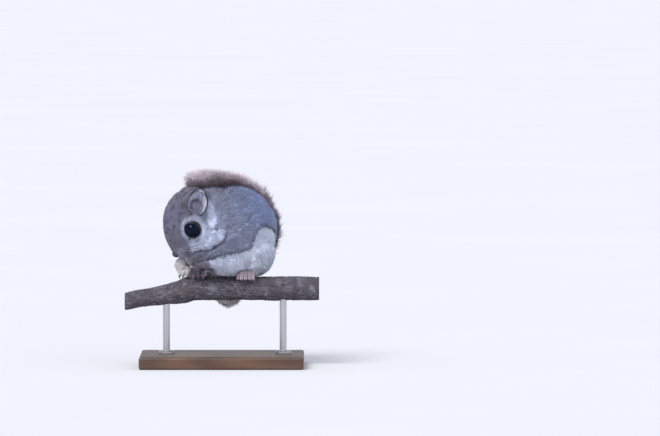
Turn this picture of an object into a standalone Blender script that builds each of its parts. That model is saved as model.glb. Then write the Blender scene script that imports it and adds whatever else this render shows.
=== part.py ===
"""A life-size flying squirrel, curled up at rest on a short cut branch.

The animal sits across the branch with its hips turned to the front, its head bowed and
turned to the left, and its flat tail laid up over its back. A flat base and two rods hold
the branch. Everything is modelled in metres with +Z up, +X along the branch and the front
of the model towards -Y. The origin is the middle of the base's underside.
"""

import math
import random

import bmesh
import bpy
from mathutils import Matrix, Vector
from mathutils.bvhtree import BVHTree

MM = 0.001

# Driving dimensions
PERCH_HEIGHT = 56 * MM
PERCH_RADIUS = 8.4 * MM
PERCH_HALF_LENGTH = 70 * MM
GAP = 0.3 * MM
WELD_DISTANCES = (0.01 * MM, 0.004 * MM, 0.001 * MM, 0.0001 * MM)

# Body: each form is its middle above the perch's axis, then its radii, in millimetres
TORSO = ((6, 10, 40), (34, 33, 35))
BELLY = ((0, 4, 26), (26, 22, 18))
CHEST = ((-13, 1, 28), (15, 18, 17))
NECK = ((-8, 2, 50), (22, 18, 24.5))
RUMP = ((4, 21, 14), (20, 16, 27))
HAUNCH_LEFT = ((21, 5, 26), (18.5, 22, 19))
HAUNCH_RIGHT = ((-2, 25, 24), (19, 17, 18))
BODY_VOXEL = 0.9 * MM
BODY_FACES = 2600

# Head: its own frame starts at the nose and runs back along the skull
NOSE_TIP = (-33.1, -6.6, 24.1)
HEAD_PITCH = math.radians(64)
HEAD_YAW = math.radians(14)
# Back from the nose, height over the axis, depth under it, half width, in millimetres
HEAD_STATIONS = (
    (0.0, 1.6, 3.6, 3.0),
    (1.0, 3.1, 5.4, 4.6),
    (4.2, 8.0, 8.2, 6.8),
    (8.2, 12.8, 11.4, 8.6),
    (13.4, 17.0, 15.0, 10.0),
    (20.0, 20.5, 19.0, 12.4),
    (26.0, 22.2, 21.5, 14.8),
    (32.0, 22.4, 22.0, 16.4),
    (38.0, 21.4, 20.0, 16.6),
    (44.0, 18.3, 17.0, 14.8),
    (48.5, 14.0, 12.0, 11.0),
    (51.5, 8.0, 6.5, 6.5),
)
CHEEK = ((24.5, 13.5, -15.5), (10.5, 8.5, 9.5))
LIP_PAD = ((5.8, 4.6, -3.6), (5.8, 5.2, 4.8))
CHIN = ((9.0, 0.0, -9.5), (6.0, 6.0, 4.5))
NOSE_PAD = ((0.9, 0.0, 0.4), (2.4, 3.3, 2.7))
EYE = (21.7, 10.8, -0.5)
EYE_RADIUS = 6.3 * MM
EYE_AXIS = (-0.50, 0.82, 0.20)
LID_RADIUS = 6.0
LID_THICKNESS = 0.8
# Mouth: rays from a place inside the muzzle to its line, from the middle to the left corner
MOUTH_CENTRE = (12.0, 0.0, -5.5)
MOUTH_RAYS = ((-1.0, 0.0, -0.1), (-0.9, 0.5, -0.19), (-0.55, 0.78, -0.25), (-0.15, 1.0, -0.3))
MOUTH_RADIUS = 0.6
LIP_RADIUS = 0.8
LIP_SPACING = 1.0
NOSTRIL = ((-0.9, 1.5, 0.2), (1.2, 0.55, 0.6))

# Ear: a cup that stands on the back of the head
EAR_ROOT = (31.5, 13.5, 2.0)
EAR_TIP = (47.8, 19.5, 8.1)
EAR_WIDTH = 6.6 * MM
EAR_WALL = 1.0 * MM

# Tail: points along its middle, then half width and half thickness at each
TAIL_PATH = (
    (17, 35, 8),
    (27.5, 39, 25),
    (29.5, 37.5, 44),
    (23.5, 31, 60.5),
    (12, 22, 72.8),
    (-5, 12, 79.8),
    (-22, 4, 80.0),
)
TAIL_HALF_WIDTH = (8, 14, 17, 18, 18, 16, 7)
TAIL_HALF_DEPTH = (6, 5.2, 4.8, 4.6, 4.5, 5.0, 3.4)
TAIL_NODES = 4
TAIL_CORE = (0.5, 0.5)
LOCK_LENGTH = 18
LOCK_WIDTH = 8.2
LOCK_THICKNESS = 1.8
EDGE_LOCKS = 19
FACE_LOCKS = 10
TIP_LOCKS = 8

# Limbs: centre lines and radii in millimetres
ARM_LEFT = ((-2, -17, 24), (-9, -17.5, 20), (-15.5, -13.5, 18.5), (-17.5, -10, 14.5))
ARM_RIGHT = ((-16, 16, 26), (-24, 11, 21), (-29, 5, 18.5), (-28.5, 1.5, 14.5))
ARM_RADII = (6.0, 5.0, 3.8, 2.7)
HAND_LEFT = ((-16.6, -6.8, 12.6), (-0.3, -1.0))
HAND_RIGHT = ((-24.0, 1.5, 12.8), (-0.3, -1.0))
FOOT_LEFT = ((17.3, -4.5, 11.6), (-0.05, -1.0))
FOOT_RIGHT = ((-3.5, 8.5, 11.0), (-0.5, -1.0))
FOOT_POCKET = ((-6.0, 4.5, 11.2), (8.2, 11.0, 4.2))

# Gliding skin: (x, height) points of its free edge and of the line it grows from
SKIN_EDGE_LEFT = ((-14.5, 18.6), (-6.5, 22.7), (2.2, 25.6), (9.4, 27.7), (16.6, 30.8),
                  (20.4, 35.4), (22.8, 41.0), (27.0, 45.4), (33.0, 45.0))
SKIN_ROOT_LEFT = ((-12.0, 24.0), (-5.0, 30.0), (3.5, 37.0), (10.0, 42.5), (15.0, 47.0),
                  (19.0, 51.0), (23.0, 54.0), (27.0, 56.0), (31.5, 56.0))
SKIN_EDGE_RIGHT = ((-24.0, 19.5), (-17.0, 22.5), (-8.0, 24.0), (0.0, 25.5), (4.5, 28.5),
                   (6.5, 33.0))
SKIN_ROOT_RIGHT = ((-19.0, 27.0), (-13.0, 34.0), (-7.0, 39.0), (-1.0, 43.0), (3.5, 45.0),
                   (7.5, 46.0))
SKIN_THICKNESS = 2.4 * MM

# Stand
BASE_SIZE = (118 * MM, 86 * MM, 9 * MM)
BASE_BEVEL = 1.5 * MM
ROD_RADIUS = 2.5 * MM
ROD_X = (-40 * MM, 44 * MM)
SOCKET_DEPTH = 5 * MM

# Colour, roughness and metallic value of each finish
FINISHES = {
    "grey_fur": ((0.36, 0.35, 0.40), 0.9, 0.0),
    "brown_fur": ((0.40, 0.36, 0.36), 0.9, 0.0),
    "white_fur": ((0.80, 0.80, 0.86), 0.9, 0.0),
    "tail_fur": ((0.50, 0.42, 0.41), 0.9, 0.0),
    "pink_skin": ((0.62, 0.42, 0.38), 0.6, 0.0),
    "nose_skin": ((0.30, 0.22, 0.22), 0.5, 0.0),
    "dark_eye": ((0.01, 0.01, 0.02), 0.05, 0.0),
    "bark": ((0.22, 0.18, 0.16), 0.9, 0.0),
    "stained_wood": ((0.16, 0.09, 0.05), 0.45, 0.0),
    "steel_rod": ((0.55, 0.55, 0.56), 0.3, 1.0),
}


def above_perch(point):
    """Turn millimetres from the middle of the perch's axis into a world position."""
    return Vector(point) * MM + Vector((0, 0, PERCH_HEIGHT))


def head_axes():
    """Return the head's own back, left and up directions."""
    level = Vector((-math.cos(HEAD_YAW), -math.sin(HEAD_YAW), 0))
    forward = level * math.cos(HEAD_PITCH) + Vector((0, 0, -math.sin(HEAD_PITCH)))
    left = Vector((0, 0, 1)).cross(level)
    up = forward.cross(left)
    return -forward, left, up


def head_point(point):
    """Turn millimetres back from the nose, left and up into a world position."""
    back, left, up = head_axes()
    offset = back * point[0] + left * point[1] + up * point[2]
    return above_perch(NOSE_TIP) + offset * MM


def head_rotation():
    """Return the rotation that sets a form's own axes along the head's."""
    back, left, up = head_axes()
    return Matrix((-back, left, up)).transposed().to_4x4()


def start_scene():
    """Empty the scene and return the collections for parts and for cutters."""
    for obj in list(bpy.data.objects):
        bpy.data.objects.remove(obj, do_unlink=True)
    parts = bpy.data.collections.new("flying_squirrel")
    cutters = bpy.data.collections.new("cutters")
    bpy.context.scene.collection.children.link(parts)
    bpy.context.scene.collection.children.link(cutters)
    return parts, cutters


PARTS, CUTTERS = start_scene()


def object_from_bmesh(name, bm):
    """Put a bmesh into a new object among the cutters and free it."""
    mesh = bpy.data.meshes.new(name)
    bm.to_mesh(mesh)
    bm.free()
    obj = bpy.data.objects.new(name, mesh)
    obj.display_type = "WIRE"
    obj.hide_render = True
    CUTTERS.objects.link(obj)
    return obj


def remove(objects):
    """Delete working objects and their meshes."""
    for obj in objects:
        mesh = obj.data
        bpy.data.objects.remove(obj, do_unlink=True)
        bpy.data.meshes.remove(mesh)


def ellipsoid(name, centre, radii, rotation=None, segments=24, rings=14):
    """Make a sphere primitive of the given centre and radii, in metres."""
    bm = bmesh.new()
    scale = Matrix.Diagonal((*radii, 1))
    turn = rotation if rotation else Matrix.Identity(4)
    placed = Matrix.Translation(centre) @ turn @ scale
    bmesh.ops.create_uvsphere(bm, u_segments=segments, v_segments=rings, radius=1, matrix=placed)
    return object_from_bmesh(name, bm)


def body_form(name, form, grow=0.0, **detail):
    """Make one rounded form of the body from its middle and radii in millimetres."""
    centre, radii = form
    sizes = [radius * MM + grow for radius in radii]
    return ellipsoid(name, above_perch(centre), sizes, **detail)


def head_form(name, form, side=1, grow=0.0, **detail):
    """Make one rounded form in the head's own frame, on its left (1) or right (-1) side."""
    (back, left, up), radii = form
    sizes = [radius * MM + grow for radius in radii]
    centre = head_point((back, left * side, up))
    return ellipsoid(name, centre, sizes, head_rotation(), **detail)


def loft(name, rings):
    """Skin a list of closed rings of equal length and close both ends with a fan."""
    bm = bmesh.new()
    rows = [[bm.verts.new(point) for point in ring] for ring in rings]
    count = len(rows[0])
    for row, following in zip(rows, rows[1:]):
        for i in range(count):
            j = (i + 1) % count
            bm.faces.new((row[i], row[j], following[j], following[i]))
    for row in (rows[0], rows[-1]):
        middle = bm.verts.new(sum((vert.co for vert in row), Vector()) / count)
        for i in range(count):
            bm.faces.new((row[i], row[(i + 1) % count], middle))
    bmesh.ops.recalc_face_normals(bm, faces=bm.faces)
    return object_from_bmesh(name, bm)


def apply_modifiers(obj):
    """Bake an object's modifiers into its mesh."""
    depsgraph = bpy.context.evaluated_depsgraph_get()
    baked = bpy.data.meshes.new_from_object(obj.evaluated_get(depsgraph))
    obj.modifiers.clear()
    plain = obj.data
    obj.data = baked
    bpy.data.meshes.remove(plain)


def boolean(obj, cutter, operation, solver="EXACT"):
    """Cut, join or trim an object with another one and bake the result."""
    modifier = obj.modifiers.new("Boolean", "BOOLEAN")
    modifier.operation = operation
    modifier.solver = solver
    modifier.object = cutter
    apply_modifiers(obj)


def copy_of(obj, name):
    """Copy an object with its own mesh."""
    twin = obj.copy()
    twin.data = obj.data.copy()
    twin.name = name
    CUTTERS.objects.link(twin)
    return twin


def grown(obj, amount):
    """Copy an object with its surface moved outwards by an amount."""
    swollen = copy_of(obj, obj.name + "_grown")
    modifier = swollen.modifiers.new("Grow", "DISPLACE")
    modifier.mid_level = 0
    modifier.strength = amount
    apply_modifiers(swollen)
    return swollen


def fuse_soft(name, objects, voxel, face_count, smoothing):
    """Melt overlapping forms into one smooth closed surface of few triangles."""
    bm = bmesh.new()
    for obj in objects:
        bm.from_mesh(obj.data)
    remove(objects)
    body = object_from_bmesh(name, bm)
    remesh = body.modifiers.new("Melt", "REMESH")
    remesh.mode = "VOXEL"
    remesh.voxel_size = voxel
    smooth = body.modifiers.new("Smooth", "SMOOTH")
    smooth.factor = 0.5
    smooth.iterations = smoothing
    apply_modifiers(body)
    thin = body.modifiers.new("Thin", "DECIMATE")
    thin.ratio = face_count / (2 * len(body.data.polygons))
    thin.use_collapse_triangulate = True
    apply_modifiers(body)
    return body


def unite(name, objects, solver="MANIFOLD"):
    """Join closed objects into one closed surface with a single union."""
    first, *others = objects
    first.name = name
    together = bpy.data.collections.new(name + "_pieces")
    bpy.context.scene.collection.children.link(together)
    for obj in others:
        together.objects.link(obj)
    modifier = first.modifiers.new("Join", "BOOLEAN")
    modifier.operation = "UNION"
    modifier.solver = solver
    modifier.operand_type = "COLLECTION"
    modifier.collection = together
    apply_modifiers(first)
    remove(others)
    bpy.data.collections.remove(together)
    return first


def islands(bm):
    """Split a bmesh's faces into connected surfaces."""
    left = set(bm.faces)
    surfaces = []
    while left:
        seed = left.pop()
        surface = [seed]
        stack = [seed]
        while stack:
            face = stack.pop()
            for edge in face.edges:
                for neighbour in edge.link_faces:
                    if neighbour in left:
                        left.remove(neighbour)
                        surface.append(neighbour)
                        stack.append(neighbour)
        surfaces.append(surface)
    return surfaces


def surface_volume(surface):
    """Volume enclosed by a closed surface of triangles."""
    total = 0.0
    for face in surface:
        a, b, c = (vert.co for vert in face.verts)
        total += a.dot(b.cross(c)) / 6
    return total


def largest_surface(obj, weld):
    """Weld tiny edges, make triangles and return a mesh of only the largest surface."""
    bm = bmesh.new()
    bm.from_mesh(obj.data)
    bmesh.ops.remove_doubles(bm, verts=bm.verts, dist=weld)
    bmesh.ops.dissolve_degenerate(bm, edges=bm.edges, dist=weld / 2)
    bmesh.ops.triangulate(bm, faces=bm.faces)
    surfaces = islands(bm)
    largest = max(surfaces, key=surface_volume)
    for surface in surfaces:
        if surface is not largest:
            bmesh.ops.delete(bm, geom=surface, context="FACES")
    return bm


def tidy(obj):
    """Keep an object's largest surface, welded as widely as leaves it closed."""
    for weld in WELD_DISTANCES:
        bm = largest_surface(obj, weld)
        closed = all(len(edge.link_faces) == 2 for edge in bm.edges)
        if closed or weld == WELD_DISTANCES[-1]:
            bm.to_mesh(obj.data)
            bm.free()
            return
        bm.free()


def finish(obj, name, finish_name, smooth=True):
    """Name a finished node, give it its material and move it to the parts."""
    tidy(obj)
    obj.name = name
    obj.data.name = name
    obj.display_type = "TEXTURED"
    obj.hide_render = False
    CUTTERS.objects.unlink(obj)
    PARTS.objects.link(obj)
    colour, roughness, metallic = FINISHES[finish_name]
    material = bpy.data.materials.get(finish_name)
    if material is None:
        material = bpy.data.materials.new(finish_name)
        material.use_nodes = True
        shader = material.node_tree.nodes["Principled BSDF"]
        shader.inputs["Base Color"].default_value = (*colour, 1)
        shader.inputs["Roughness"].default_value = roughness
        shader.inputs["Metallic"].default_value = metallic
        material.diffuse_color = (*colour, 1)
    obj.data.materials.clear()
    obj.data.materials.append(material)
    for polygon in obj.data.polygons:
        polygon.use_smooth = smooth
    return obj


def spline(points, steps):
    """Read a smooth curve through the points, with some steps between each pair."""
    places = [Vector(point) for point in points]
    ends = [places[0] * 2 - places[1], *places, places[-1] * 2 - places[-2]]
    curve = []
    for i in range(len(places) - 1):
        before, start, end, after = ends[i:i + 4]
        for step in range(steps):
            t = step / steps
            curve.append(
                0.5 * (2 * start + (end - before) * t
                       + (2 * before - 5 * start + 4 * end - after) * t * t
                       + (3 * start - before - 3 * end + after) * t ** 3)
            )
    curve.append(places[-1])
    return curve


def read_along(values, share):
    """Read a list of evenly spaced values at a share (0 to 1) of its length."""
    place = share * (len(values) - 1)
    i = min(int(place), len(values) - 2)
    return values[i] + (values[i + 1] - values[i]) * (place - i)


def tube(name, points, radii, sides=10, steps=3):
    """Loft round rings along a smooth path, tapering by the radii, in millimetres."""
    curve = spline(points, steps)
    rings = []
    side = Vector((0.31, 0.87, 0.38)).normalized()
    for i, place in enumerate(curve):
        ahead = curve[min(i + 1, len(curve) - 1)] - curve[max(i - 1, 0)]
        ahead.normalize()
        side = (side - ahead * side.dot(ahead)).normalized()
        other = ahead.cross(side)
        radius = read_along(radii, i / (len(curve) - 1))
        ring = []
        for j in range(sides):
            angle = math.tau * j / sides
            offset = side * math.cos(angle) + other * math.sin(angle)
            ring.append(above_perch(place + offset * radius))
        rings.append(ring)
    return loft(name, rings)


def perch_height_at(x):
    """Height of the branch's axis in millimetres: level, then sloping down to the left."""
    bend = -20
    slope = 0.185
    return min(0.0, (x - bend) * slope)


def perch_radius_at(x):
    """Radius of the branch in millimetres: a knot near the bend, thinner to the left."""
    full = PERCH_RADIUS / MM
    thin = 6.2
    share = min(max((x + 52) / 26, 0), 1)
    knot = 0.8 * math.exp(-((x + 26) / 5) ** 2)
    return thin + (full - thin) * share + knot


def make_perch(name, grow=0.0):
    """Loft the branch along X with low ridges of bark, flat at both cut ends."""
    stations = 19
    sides = 12
    half = PERCH_HALF_LENGTH / MM + grow / MM
    rings = []
    for i in range(stations):
        x = -half + 2 * half * i / (stations - 1)
        ring = []
        for j in range(sides):
            angle = math.tau * j / sides
            ridge = 0.16 * math.sin(5 * angle + 0.06 * x) + 0.12 * math.sin(0.31 * x + 2 * angle)
            radius = perch_radius_at(x) + ridge + grow / MM
            height = perch_height_at(x) + radius * math.sin(angle)
            ring.append(above_perch((x, radius * math.cos(angle), height)))
        rings.append(ring)
    return loft(name, rings)


def make_stand():
    """Make the flat base and the two rods, and bore the rods' sockets in the branch."""
    width, depth, height = BASE_SIZE
    bm = bmesh.new()
    placed = Matrix.Translation((0, 0, height / 2)) @ Matrix.Diagonal((width, depth, height, 1))
    bmesh.ops.create_cube(bm, size=1, matrix=placed)
    base = object_from_bmesh("stand_base", bm)
    bevel = base.modifiers.new("Bevel", "BEVEL")
    bevel.width = BASE_BEVEL
    bevel.segments = 2
    apply_modifiers(base)
    finish(base, "stand_base", "stained_wood", smooth=False)
    perch = make_perch("perch")
    for name, x in zip(("stand_rod_left", "stand_rod_right"), ROD_X):
        under = (perch_height_at(x / MM) - perch_radius_at(x / MM)) * MM
        top = PERCH_HEIGHT + under + SOCKET_DEPTH
        make_rod(name, x, height + GAP, top)
        bore = cylinder("bore", x, top - 2 * SOCKET_DEPTH, top + GAP, ROD_RADIUS + GAP)
        boolean(perch, bore, "DIFFERENCE")
        remove([bore])
    return finish(perch, "perch", "bark")


def cylinder(name, x, bottom, top, radius):
    """Make an upright cylinder primitive on the perch's line."""
    bm = bmesh.new()
    placed = Matrix.Translation((x, 0, (bottom + top) / 2))
    bmesh.ops.create_cone(
        bm, cap_ends=True, segments=24, radius1=radius, radius2=radius,
        depth=top - bottom, matrix=placed,
    )
    return object_from_bmesh(name, bm)


def make_rod(name, x, bottom, top):
    """Turn a rod with a low collar at its foot."""
    collar_radius = 6 * MM
    collar_height = 2 * MM
    chamfer = 0.5 * MM
    profile = [
        (0, bottom),
        (collar_radius, bottom),
        (collar_radius, bottom + collar_height - chamfer),
        (collar_radius - chamfer, bottom + collar_height),
        (ROD_RADIUS, bottom + collar_height),
        (ROD_RADIUS, top - chamfer),
        (ROD_RADIUS - chamfer, top),
        (0, top),
    ]
    bm = bmesh.new()
    verts = [bm.verts.new((radius, 0, z)) for radius, z in profile]
    for a, b in zip(verts, verts[1:]):
        bm.edges.new((a, b))
    rod = object_from_bmesh(name, bm)
    screw = rod.modifiers.new("Turn", "SCREW")
    screw.steps = 18
    screw.render_steps = 18
    screw.use_merge_vertices = True
    screw.merge_threshold = 0.00001
    apply_modifiers(rod)
    bm = bmesh.new()
    bm.from_mesh(rod.data)
    bmesh.ops.recalc_face_normals(bm, faces=bm.faces)
    bmesh.ops.translate(bm, verts=bm.verts, vec=(x, 0, 0))
    bm.to_mesh(rod.data)
    bm.free()
    return finish(rod, name, "steel_rod")


def make_skull_form():
    """Loft the head from its stations, rounder below than above."""
    sides = 24
    squareness = 2.2
    back, left, up = head_axes()
    rings = []
    for place, height, depth, half_width in HEAD_STATIONS:
        middle = head_point((place, 0, 0))
        ring = []
        for i in range(sides):
            angle = math.tau * i / sides
            across = math.copysign(abs(math.cos(angle)) ** (2 / squareness), math.cos(angle))
            along = math.copysign(abs(math.sin(angle)) ** (2 / squareness), math.sin(angle))
            reach = height if along > 0 else depth
            ring.append(middle + (left * across * half_width + up * along * reach) * MM)
        rings.append(ring)
    return loft("skull", rings)


def make_body_whole():
    """Melt the head, neck, trunk and haunches into one surface."""
    forms = [
        body_form("torso", TORSO),
        body_form("belly", BELLY),
        body_form("chest", CHEST),
        body_form("neck", NECK),
        body_form("rump", RUMP),
        body_form("haunch_left", HAUNCH_LEFT),
        body_form("haunch_right", HAUNCH_RIGHT),
        make_skull_form(),
        head_form("chin", CHIN),
    ]
    for side in (1, -1):
        forms.append(head_form("cheek", CHEEK, side))
        forms.append(head_form("lip_pad", LIP_PAD, side))
    return fuse_soft("whole", forms, BODY_VOXEL, BODY_FACES, smoothing=5)


def prism(name, corners):
    """Make a wedge: an outline of (x, height) points drawn through the model's depth."""
    reach = 60
    rings = []
    for y in (-reach, reach):
        rings.append([above_perch((x, y, height)) for x, height in corners])
    return loft(name, rings)


def carve(whole, region, gap_region):
    """Take one region out of the whole as a piece, leaving a thin cut round it."""
    piece = copy_of(whole, region.name)
    boolean(piece, region, "INTERSECT")
    boolean(whole, gap_region, "DIFFERENCE")
    remove([region, gap_region])
    return piece


def make_eye(name, side):
    """Make one eyeball."""
    back, left, up = EYE
    centre = head_point((back, left * side, up))
    return ellipsoid(name, centre, [EYE_RADIUS] * 3, segments=16, rings=10)


def make_ear(name, side):
    """Make one ear as a cup: rows of arcs that widen and close again towards the tip.

    At a share u of the ear's height the arc's radius is the full width times
    sin(pi * (0.18 + 0.82 u)) ** 0.6 and it spans less and less of a circle, so the cup
    opens upwards; the inner wall is the outer one moved in by the wall's thickness.
    """
    root = head_point((EAR_ROOT[0], EAR_ROOT[1] * side, EAR_ROOT[2]))
    tip = head_point((EAR_TIP[0], EAR_TIP[1] * side, EAR_TIP[2]))
    height = (tip - root).length
    upward = (tip - root).normalized()
    back, left, up = head_axes()
    facing = left * side - back * 0.75 + up * 0.2
    facing = (facing - upward * facing.dot(upward)).normalized()
    across = upward.cross(facing)
    rows = 7
    columns = 10
    outer = []
    inner = []
    for i in range(rows):
        u = i / (rows - 1)
        radius = EAR_WIDTH * math.sin(math.pi * (0.2 + 0.76 * u)) ** 0.6
        span = math.radians(125 - 45 * u)
        lean = 1.5 * MM * math.sin(math.pi * u)
        centre = root + upward * height * u + facing * (radius * 0.55 - lean)
        for wall, row in ((0, outer), (EAR_WALL, inner)):
            ring = []
            for j in range(columns + 1):
                angle = span * (2 * j / columns - 1)
                reach = max(radius - wall, 0.3 * MM)
                offset = across * math.sin(angle) - facing * math.cos(angle)
                ring.append(centre + offset * reach)
            row.append(ring)
    rings = [a + b[::-1] for a, b in zip(outer, inner)]
    return loft(name, rings)


def tail_frame():
    """Return the tail's curve, with the direction along, across and out at each place."""
    steps = 4
    curve = spline(TAIL_PATH, steps)
    centre = Vector(TORSO[0])
    frame = []
    for i, place in enumerate(curve):
        along = (curve[min(i + 1, len(curve) - 1)] - curve[max(i - 1, 0)]).normalized()
        out = place - centre
        out = (out - along * out.dot(along)).normalized()
        across = along.cross(out)
        frame.append((place, along, across, out))
    return frame


def make_tail_core(name, fullness):
    """Loft the flat tail's core, an oval that bends round the back across its width."""
    sides = 10
    frame = tail_frame()
    rings = []
    for i, (place, along, across, out) in enumerate(frame):
        share = i / (len(frame) - 1)
        half_width = read_along(TAIL_HALF_WIDTH, share) * fullness[0]
        half_depth = read_along(TAIL_HALF_DEPTH, share) * fullness[1]
        ring = []
        for j in range(sides):
            angle = math.tau * j / sides
            sideways = half_width * math.cos(angle)
            droop = 0.012 * sideways ** 2
            outward = half_depth * math.sin(angle) - droop
            ring.append(above_perch(place + across * sideways + out * outward))
        rings.append(ring)
    return loft(name, rings)


def make_lock(root, direction, flat, length, width, thickness, bend):
    """Make one flat lock of hair that narrows and bends towards its tip, in millimetres.

    The middle runs from the root along the direction and leaves it by the bend times the
    square of the share t of the length; the width is the full one times (1 - t ** 3.2).
    """
    shares = (0, 0.45, 0.8, 1)
    rings = []
    for t in shares:
        middle = root + direction * length * t + bend * length * t * t
        ahead = (direction + bend * 2 * t).normalized()
        side = ahead.cross(flat).normalized()
        over = side.cross(ahead)
        half_width = width / 2 * max(1 - t ** 3.2, 0.12)
        half_depth = thickness / 2 * max(1 - t ** 2.2, 0.15)
        rings.append([
            above_perch(middle + side * half_width),
            above_perch(middle + over * half_depth),
            above_perch(middle - side * half_width),
            above_perch(middle - over * half_depth),
        ])
    return loft("lock", rings)


def make_tail_locks():
    """Set locks along both edges, over both faces and round the tip of the tail."""
    chance = random.Random(11)
    frame = tail_frame()
    locks = []

    def at(share):
        return frame[min(round(share * (len(frame) - 1)), len(frame) - 1)]

    for side in (1, -1):
        for i in range(EDGE_LOCKS):
            share = 0.05 + 0.87 * (i + 0.5) / EDGE_LOCKS
            place, along, across, out = at(share)
            reach = read_along(TAIL_HALF_WIDTH, share)
            inset = reach * TAIL_CORE[0] * 0.7
            droop = 0.012 * inset ** 2
            lean = 0.82 + 0.12 * chance.uniform(-1, 1)
            length = (reach - inset) * (1.38 + 0.12 * chance.uniform(-1, 1))
            direction = (across * side * math.cos(lean) + along * math.sin(lean)).normalized()
            bend = across * side * 0.06 - out * (0.2 + 0.05 * chance.uniform(-1, 1))
            root = place + across * side * inset - out * (droop + 0.5 * chance.uniform(-1, 1))
            width = LOCK_WIDTH * (0.9 + 0.2 * chance.random())
            locks.append(make_lock(root, direction, out, length, width, LOCK_THICKNESS, bend))
    for face in (1, -1):
        for i in range(FACE_LOCKS):
            share = 0.08 + 0.82 * (i + 0.5) / FACE_LOCKS
            place, along, across, out = at(share)
            depth = read_along(TAIL_HALF_DEPTH, share)
            sway = 0.35 * (-1) ** i + 0.1 * chance.uniform(-1, 1)
            offset = across * sway * read_along(TAIL_HALF_WIDTH, share) * TAIL_CORE[0]
            root = place + offset + out * face * depth * TAIL_CORE[1] * 0.6
            direction = (along + across * sway * 0.5 + out * face * 0.2).normalized()
            bend = -out * (0.19 + face * 0.07)
            locks.append(make_lock(root, direction, out, LOCK_LENGTH, LOCK_WIDTH * 1.1,
                                   LOCK_THICKNESS, bend))
    place, along, across, out = frame[-3]
    for i in range(TIP_LOCKS):
        fan = (i / (TIP_LOCKS - 1) - 0.5) * 2.2
        tilt = (-1, 0, 1)[i % 3] * 0.22
        direction = (along * math.cos(fan) + across * math.sin(fan) + out * tilt).normalized()
        root = place + across * math.sin(fan) * 3 + out * tilt * 3
        length = 9.3 * (0.95 + 0.1 * chance.random())
        locks.append(make_lock(root, direction, out, length, LOCK_WIDTH, LOCK_THICKNESS * 1.5,
                               -out * 0.06))
    return locks


def part_along(name, obj, cuts):
    """Split an object into lengths by thin slabs at the given places and directions.

    Two triangles on the same three corners are a fold of no thickness and both go.
    """
    slab_reach = 45 * MM
    for place, direction in cuts:
        bm = bmesh.new()
        turn = direction.to_track_quat("Z", "Y").to_matrix().to_4x4()
        size = Matrix.Diagonal((2 * slab_reach, 2 * slab_reach, GAP, 1))
        bmesh.ops.create_cube(bm, size=1, matrix=Matrix.Translation(place) @ turn @ size)
        slab = object_from_bmesh("slab", bm)
        boolean(obj, slab, "DIFFERENCE", "MANIFOLD")
        remove([slab])
    bm = bmesh.new()
    bm.from_mesh(obj.data)
    bmesh.ops.triangulate(bm, faces=bm.faces)
    surfaces = sorted(islands(bm), key=surface_volume, reverse=True)[:len(cuts) + 1]
    pieces = []
    for surface in surfaces:
        kept = {}
        for face in surface:
            corners = frozenset(face.verts)
            if corners in kept:
                del kept[corners]
            else:
                kept[corners] = face.verts[:]
        piece = bmesh.new()
        known = {}
        for verts in kept.values():
            for vert in verts:
                if vert not in known:
                    known[vert] = piece.verts.new(vert.co)
            piece.faces.new([known[vert] for vert in verts])
        pieces.append(object_from_bmesh(name, piece))
    bm.free()
    remove([obj])
    return pieces


def make_tail(body_skin):
    """Make the tail and part it into lengths from root to tip."""
    tail = unite("tail", [make_tail_core("core", TAIL_CORE), *make_tail_locks()])
    boolean(tail, body_skin, "DIFFERENCE", "MANIFOLD")
    frame = tail_frame()
    cuts = []
    for k in range(1, TAIL_NODES):
        place, along, _, _ = frame[round(k * (len(frame) - 1) / TAIL_NODES)]
        cuts.append((above_perch(place), along))
    pieces = part_along("tail", tail, cuts)

    def distance_along(piece):
        middle = sum((v.co for v in piece.data.vertices), Vector()) / len(piece.data.vertices)
        nearest = min(range(len(frame)), key=lambda i: (above_perch(frame[i][0]) - middle).length)
        return nearest

    pieces.sort(key=distance_along)
    for number, piece in enumerate(pieces, start=1):
        finish(piece, f"tail_{number}", "tail_fur")


def digits(name, palm, aim, count, spread, length, radius, drop, heel):
    """Make a palm with toes that reach forward, droop over the branch and end in claws."""
    palm = Vector(palm)
    forward = Vector((*aim, 0)).normalized()
    sideways = forward.cross(Vector((0, 0, 1)))
    pieces = [
        ellipsoid(
            name, above_perch(palm), (spread * 0.5 * MM, 4.4 * MM, 2.3 * MM),
            forward.to_track_quat("Y", "Z").to_matrix().to_4x4(), segments=10, rings=6,
        ),
        tube("heel", (palm - forward * heel, palm - forward * heel / 2, palm),
             (2.2, 2.1, 1.9), sides=7, steps=1),
    ]
    for i in range(count):
        place = i / (count - 1) - 0.5
        reach = length * (1 - 0.9 * place * place)
        root = palm + sideways * place * spread * 0.72 + forward * 1.0
        knuckle = palm + sideways * place * spread * 1.05 + forward * (reach * 0.55) + Vector((0, 0, 0.7))
        tip = palm + sideways * place * spread * 1.2 + forward * (reach * 0.86) - Vector((0, 0, drop))
        point = tip + forward * -0.9 - Vector((0, 0, 2.6))
        toe_radii = (radius, radius * 1.05, radius * 0.85)
        pieces.append(tube("toe", (root, knuckle, tip), toe_radii, sides=5, steps=1))
        start = tip + (knuckle - tip) * 0.12
        pieces.append(tube("claw", (start, tip + forward * 0.5 - Vector((0, 0, 1)), point),
                           (0.75, 0.6, 0.15), sides=4, steps=1))
    return unite(name, pieces)


def make_arm_skin(arm_path):
    """Make a foreleg's surface moved out by the gap, for trimming what meets it."""
    return tube("arm_skin", arm_path, [radius + GAP / MM for radius in ARM_RADII])


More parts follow.
